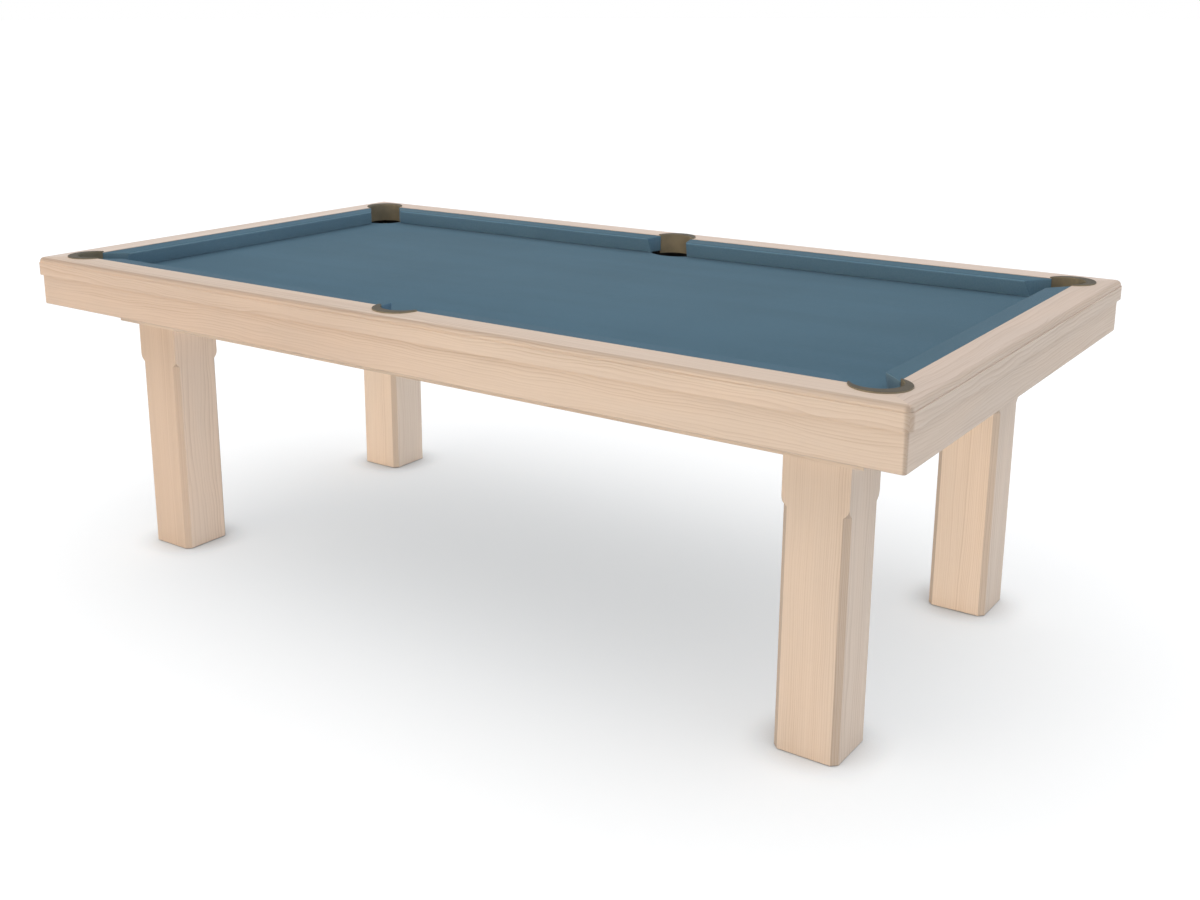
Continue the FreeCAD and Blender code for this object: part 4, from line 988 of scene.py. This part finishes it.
class POOLTABLE_OT_stage(bpy.types.Operator):
    """Make the plain floor, the studio light and the camera"""

    bl_idname = "pool_table.stage"
    bl_label = "Studio"

    floor_reach: bpy.props.FloatProperty(
        name="Floor", description="Radius of the floor", default=180.0, unit="LENGTH"
    )
    floor_glow: bpy.props.FloatProperty(
        name="Floor glow", description="Light given off by the white floor", default=0.45
    )
    contact_reach: bpy.props.FloatProperty(
        name="Contact reach",
        description="How near to the floor a leg dims the floor's glow",
        default=0.08,
        unit="LENGTH",
    )
    focal: bpy.props.FloatProperty(
        name="Focal length", description="Lens of the camera", default=41.106, unit="CAMERA"
    )

    def execute(self, context):
        scene = context.scene
        self.make_floor(scene)
        self.make_sky(scene)
        self.make_lamp(scene)
        self.make_camera(scene)
        scene.view_settings.view_transform = "Standard"
        scene.view_settings.look = "None"
        return {"FINISHED"}

    def make_floor(self, scene):
        """A pale disc that gives off some light, less of it close to the legs."""
        bm = bmesh.new()
        bmesh.ops.create_circle(bm, cap_ends=True, segments=96, radius=self.floor_reach)
        mesh = bpy.data.meshes.new("studio_floor")
        bm.to_mesh(mesh)
        bm.free()
        shader = Shader("studio_floor")
        tone = tuple(scene.pool_table_colours.floor)
        speck = shader.spread(shader.noise(shader.place(), scale=1.3, detail=3.0), 0.3, 0.7)
        colour = shader.blend(speck, solid(times(tone, 0.995)), solid(tone))
        near = shader.add("ShaderNodeAmbientOcclusion", {"Distance": self.contact_reach}, samples=8)
        glow = shader.product(shader.math("POWER", near.outputs["AO"], 1.3), self.floor_glow)
        shader.feed(shader.surface.inputs["Emission Strength"], glow)
        constants = {"Specular IOR Level": 0.0, "Emission Color": (0.95, 1.0, 1.04, 1.0)}
        mesh.materials.append(shader.finish(colour, 0.9, None, constants))
        floor = bpy.data.objects.new("studio_floor", mesh)
        scene.collection.objects.link(floor)

    def make_sky(self, scene):
        """Soft light all round: warm from the front, cool from the right, white from above."""
        horizon, warm_front, cool_right = (1.1, 1.1, 1.1), (6.2, 4.6, 2.6), (1.0, 1.5, 1.95)
        raised, overhead, backdrop = (0.32, 0.33, 0.35), (1.52, 1.49, 1.47), (1.0, 1.0, 1.0)
        world = bpy.data.worlds.new("studio_world")
        world.use_nodes = True
        nodes = Nodes(world.node_tree)
        right, ahead, up = nodes.split(nodes.add("ShaderNodeTexCoord").outputs["Generated"])
        to_front = nodes.math("MULTIPLY", ahead, -1.0, clamp=True)
        to_right = nodes.math("ADD", right, 0.0, clamp=True)
        low = nodes.blend(nodes.product(to_front, to_front), solid(horizon), solid(warm_front))
        low = nodes.blend(nodes.product(to_right, to_right), low, solid(cool_right))
        high = nodes.blend(nodes.spread(up, 0.35, 0.85), solid(raised), solid(overhead))
        sky = nodes.blend(nodes.spread(up, 0.07, 0.2), low, high)
        seen = nodes.add("ShaderNodeLightPath").outputs["Is Camera Ray"]
        sky = nodes.blend(seen, sky, solid(backdrop))
        background = nodes.add("ShaderNodeBackground", {"Color": sky, "Strength": 1.0})
        output = nodes.add("ShaderNodeOutputWorld")
        nodes.join(background.outputs["Background"], output.inputs["Surface"])
        scene.world = world

    def make_lamp(self, scene):
        lamp = bpy.data.lights.new("soft_key", "AREA")
        lamp.shape = "DISK"
        lamp.size = 4.0
        lamp.energy = 25.0
        lamp.color = (1.0, 0.92, 0.82)
        light = bpy.data.objects.new("soft_key", lamp)
        light.location = (-2.6, -5.4, 2.6)
        aim = Vector((0.0, 0.0, 0.5)) - light.location
        light.rotation_euler = aim.to_track_quat("-Z", "Y").to_euler()
        scene.collection.objects.link(light)

    def make_camera(self, scene):
        """The camera at the photograph's place, turned and tilted in radians."""
        lens = bpy.data.cameras.new("camera")
        lens.lens = self.focal
        lens.sensor_width = 36.0
        lens.sensor_fit = "HORIZONTAL"
        lens.shift_x, lens.shift_y = 0.0335, -0.0816
        lens.clip_start, lens.clip_end = 0.05, 200.0
        camera = bpy.data.objects.new("camera", lens)
        turn, down, roll = -0.6232, 0.2457, -0.0009
        ahead = Vector(
            (math.sin(turn) * math.cos(down), math.cos(turn) * math.cos(down), -math.sin(down))
        )
        level = Vector((math.cos(turn), -math.sin(turn), 0.0))
        upward = level.cross(ahead)
        right = level * math.cos(roll) + upward * math.sin(roll)
        up = upward * math.cos(roll) - level * math.sin(roll)
        axes = Matrix((right, up, -ahead)).transposed().to_4x4()
        camera.matrix_world = Matrix.Translation((1.9272, -2.6632, 1.3949)) @ axes
        scene.collection.objects.link(camera)
        scene.camera = camera


OPERATORS = (
    POOLTABLE_OT_wood,
    POOLTABLE_OT_slates,
    POOLTABLE_OT_pockets,
    POOLTABLE_OT_fixings,
    POOLTABLE_OT_bed_cloth,
    POOLTABLE_OT_cushions,
    POOLTABLE_OT_stage,
)


class POOLTABLE_PT_panel(bpy.types.Panel):
    """Lists the table's pieces and their sizes and colours"""

    bl_idname = "POOLTABLE_PT_panel"
    bl_label = "Pool table"
    bl_space_type = "VIEW_3D"
    bl_region_type = "UI"
    bl_category = "Pool table"

    def draw(self, context):
        for title, group in (
            ("Sizes", context.scene.pool_table_sizes),
            ("Colours", context.scene.pool_table_colours),
        ):
            box = self.layout.box()
            box.label(text=title)
            for key in group.__annotations__:
                box.prop(group, key)
        for operator in OPERATORS:
            self.layout.operator(operator.bl_idname)


CLASSES = (PoolTableSizes, PoolTableColours, *OPERATORS, POOLTABLE_PT_panel)


def register():
    for cls in CLASSES:
        bpy.utils.register_class(cls)
    bpy.types.Scene.pool_table_sizes = bpy.props.PointerProperty(type=PoolTableSizes)
    bpy.types.Scene.pool_table_colours = bpy.props.PointerProperty(type=PoolTableColours)


def unregister():
    del bpy.types.Scene.pool_table_colours
    del bpy.types.Scene.pool_table_sizes
    for cls in reversed(CLASSES):
        bpy.utils.unregister_class(cls)


def main():
    register()
    bpy.ops.pool_table.wood()
    bpy.ops.pool_table.slates()
    bpy.ops.pool_table.pockets()
    bpy.ops.pool_table.fixings()
    bpy.ops.pool_table.bed_cloth()
    bpy.ops.pool_table.cushions()
    bpy.ops.pool_table.stage()


if __name__ == "__main__":
    main()
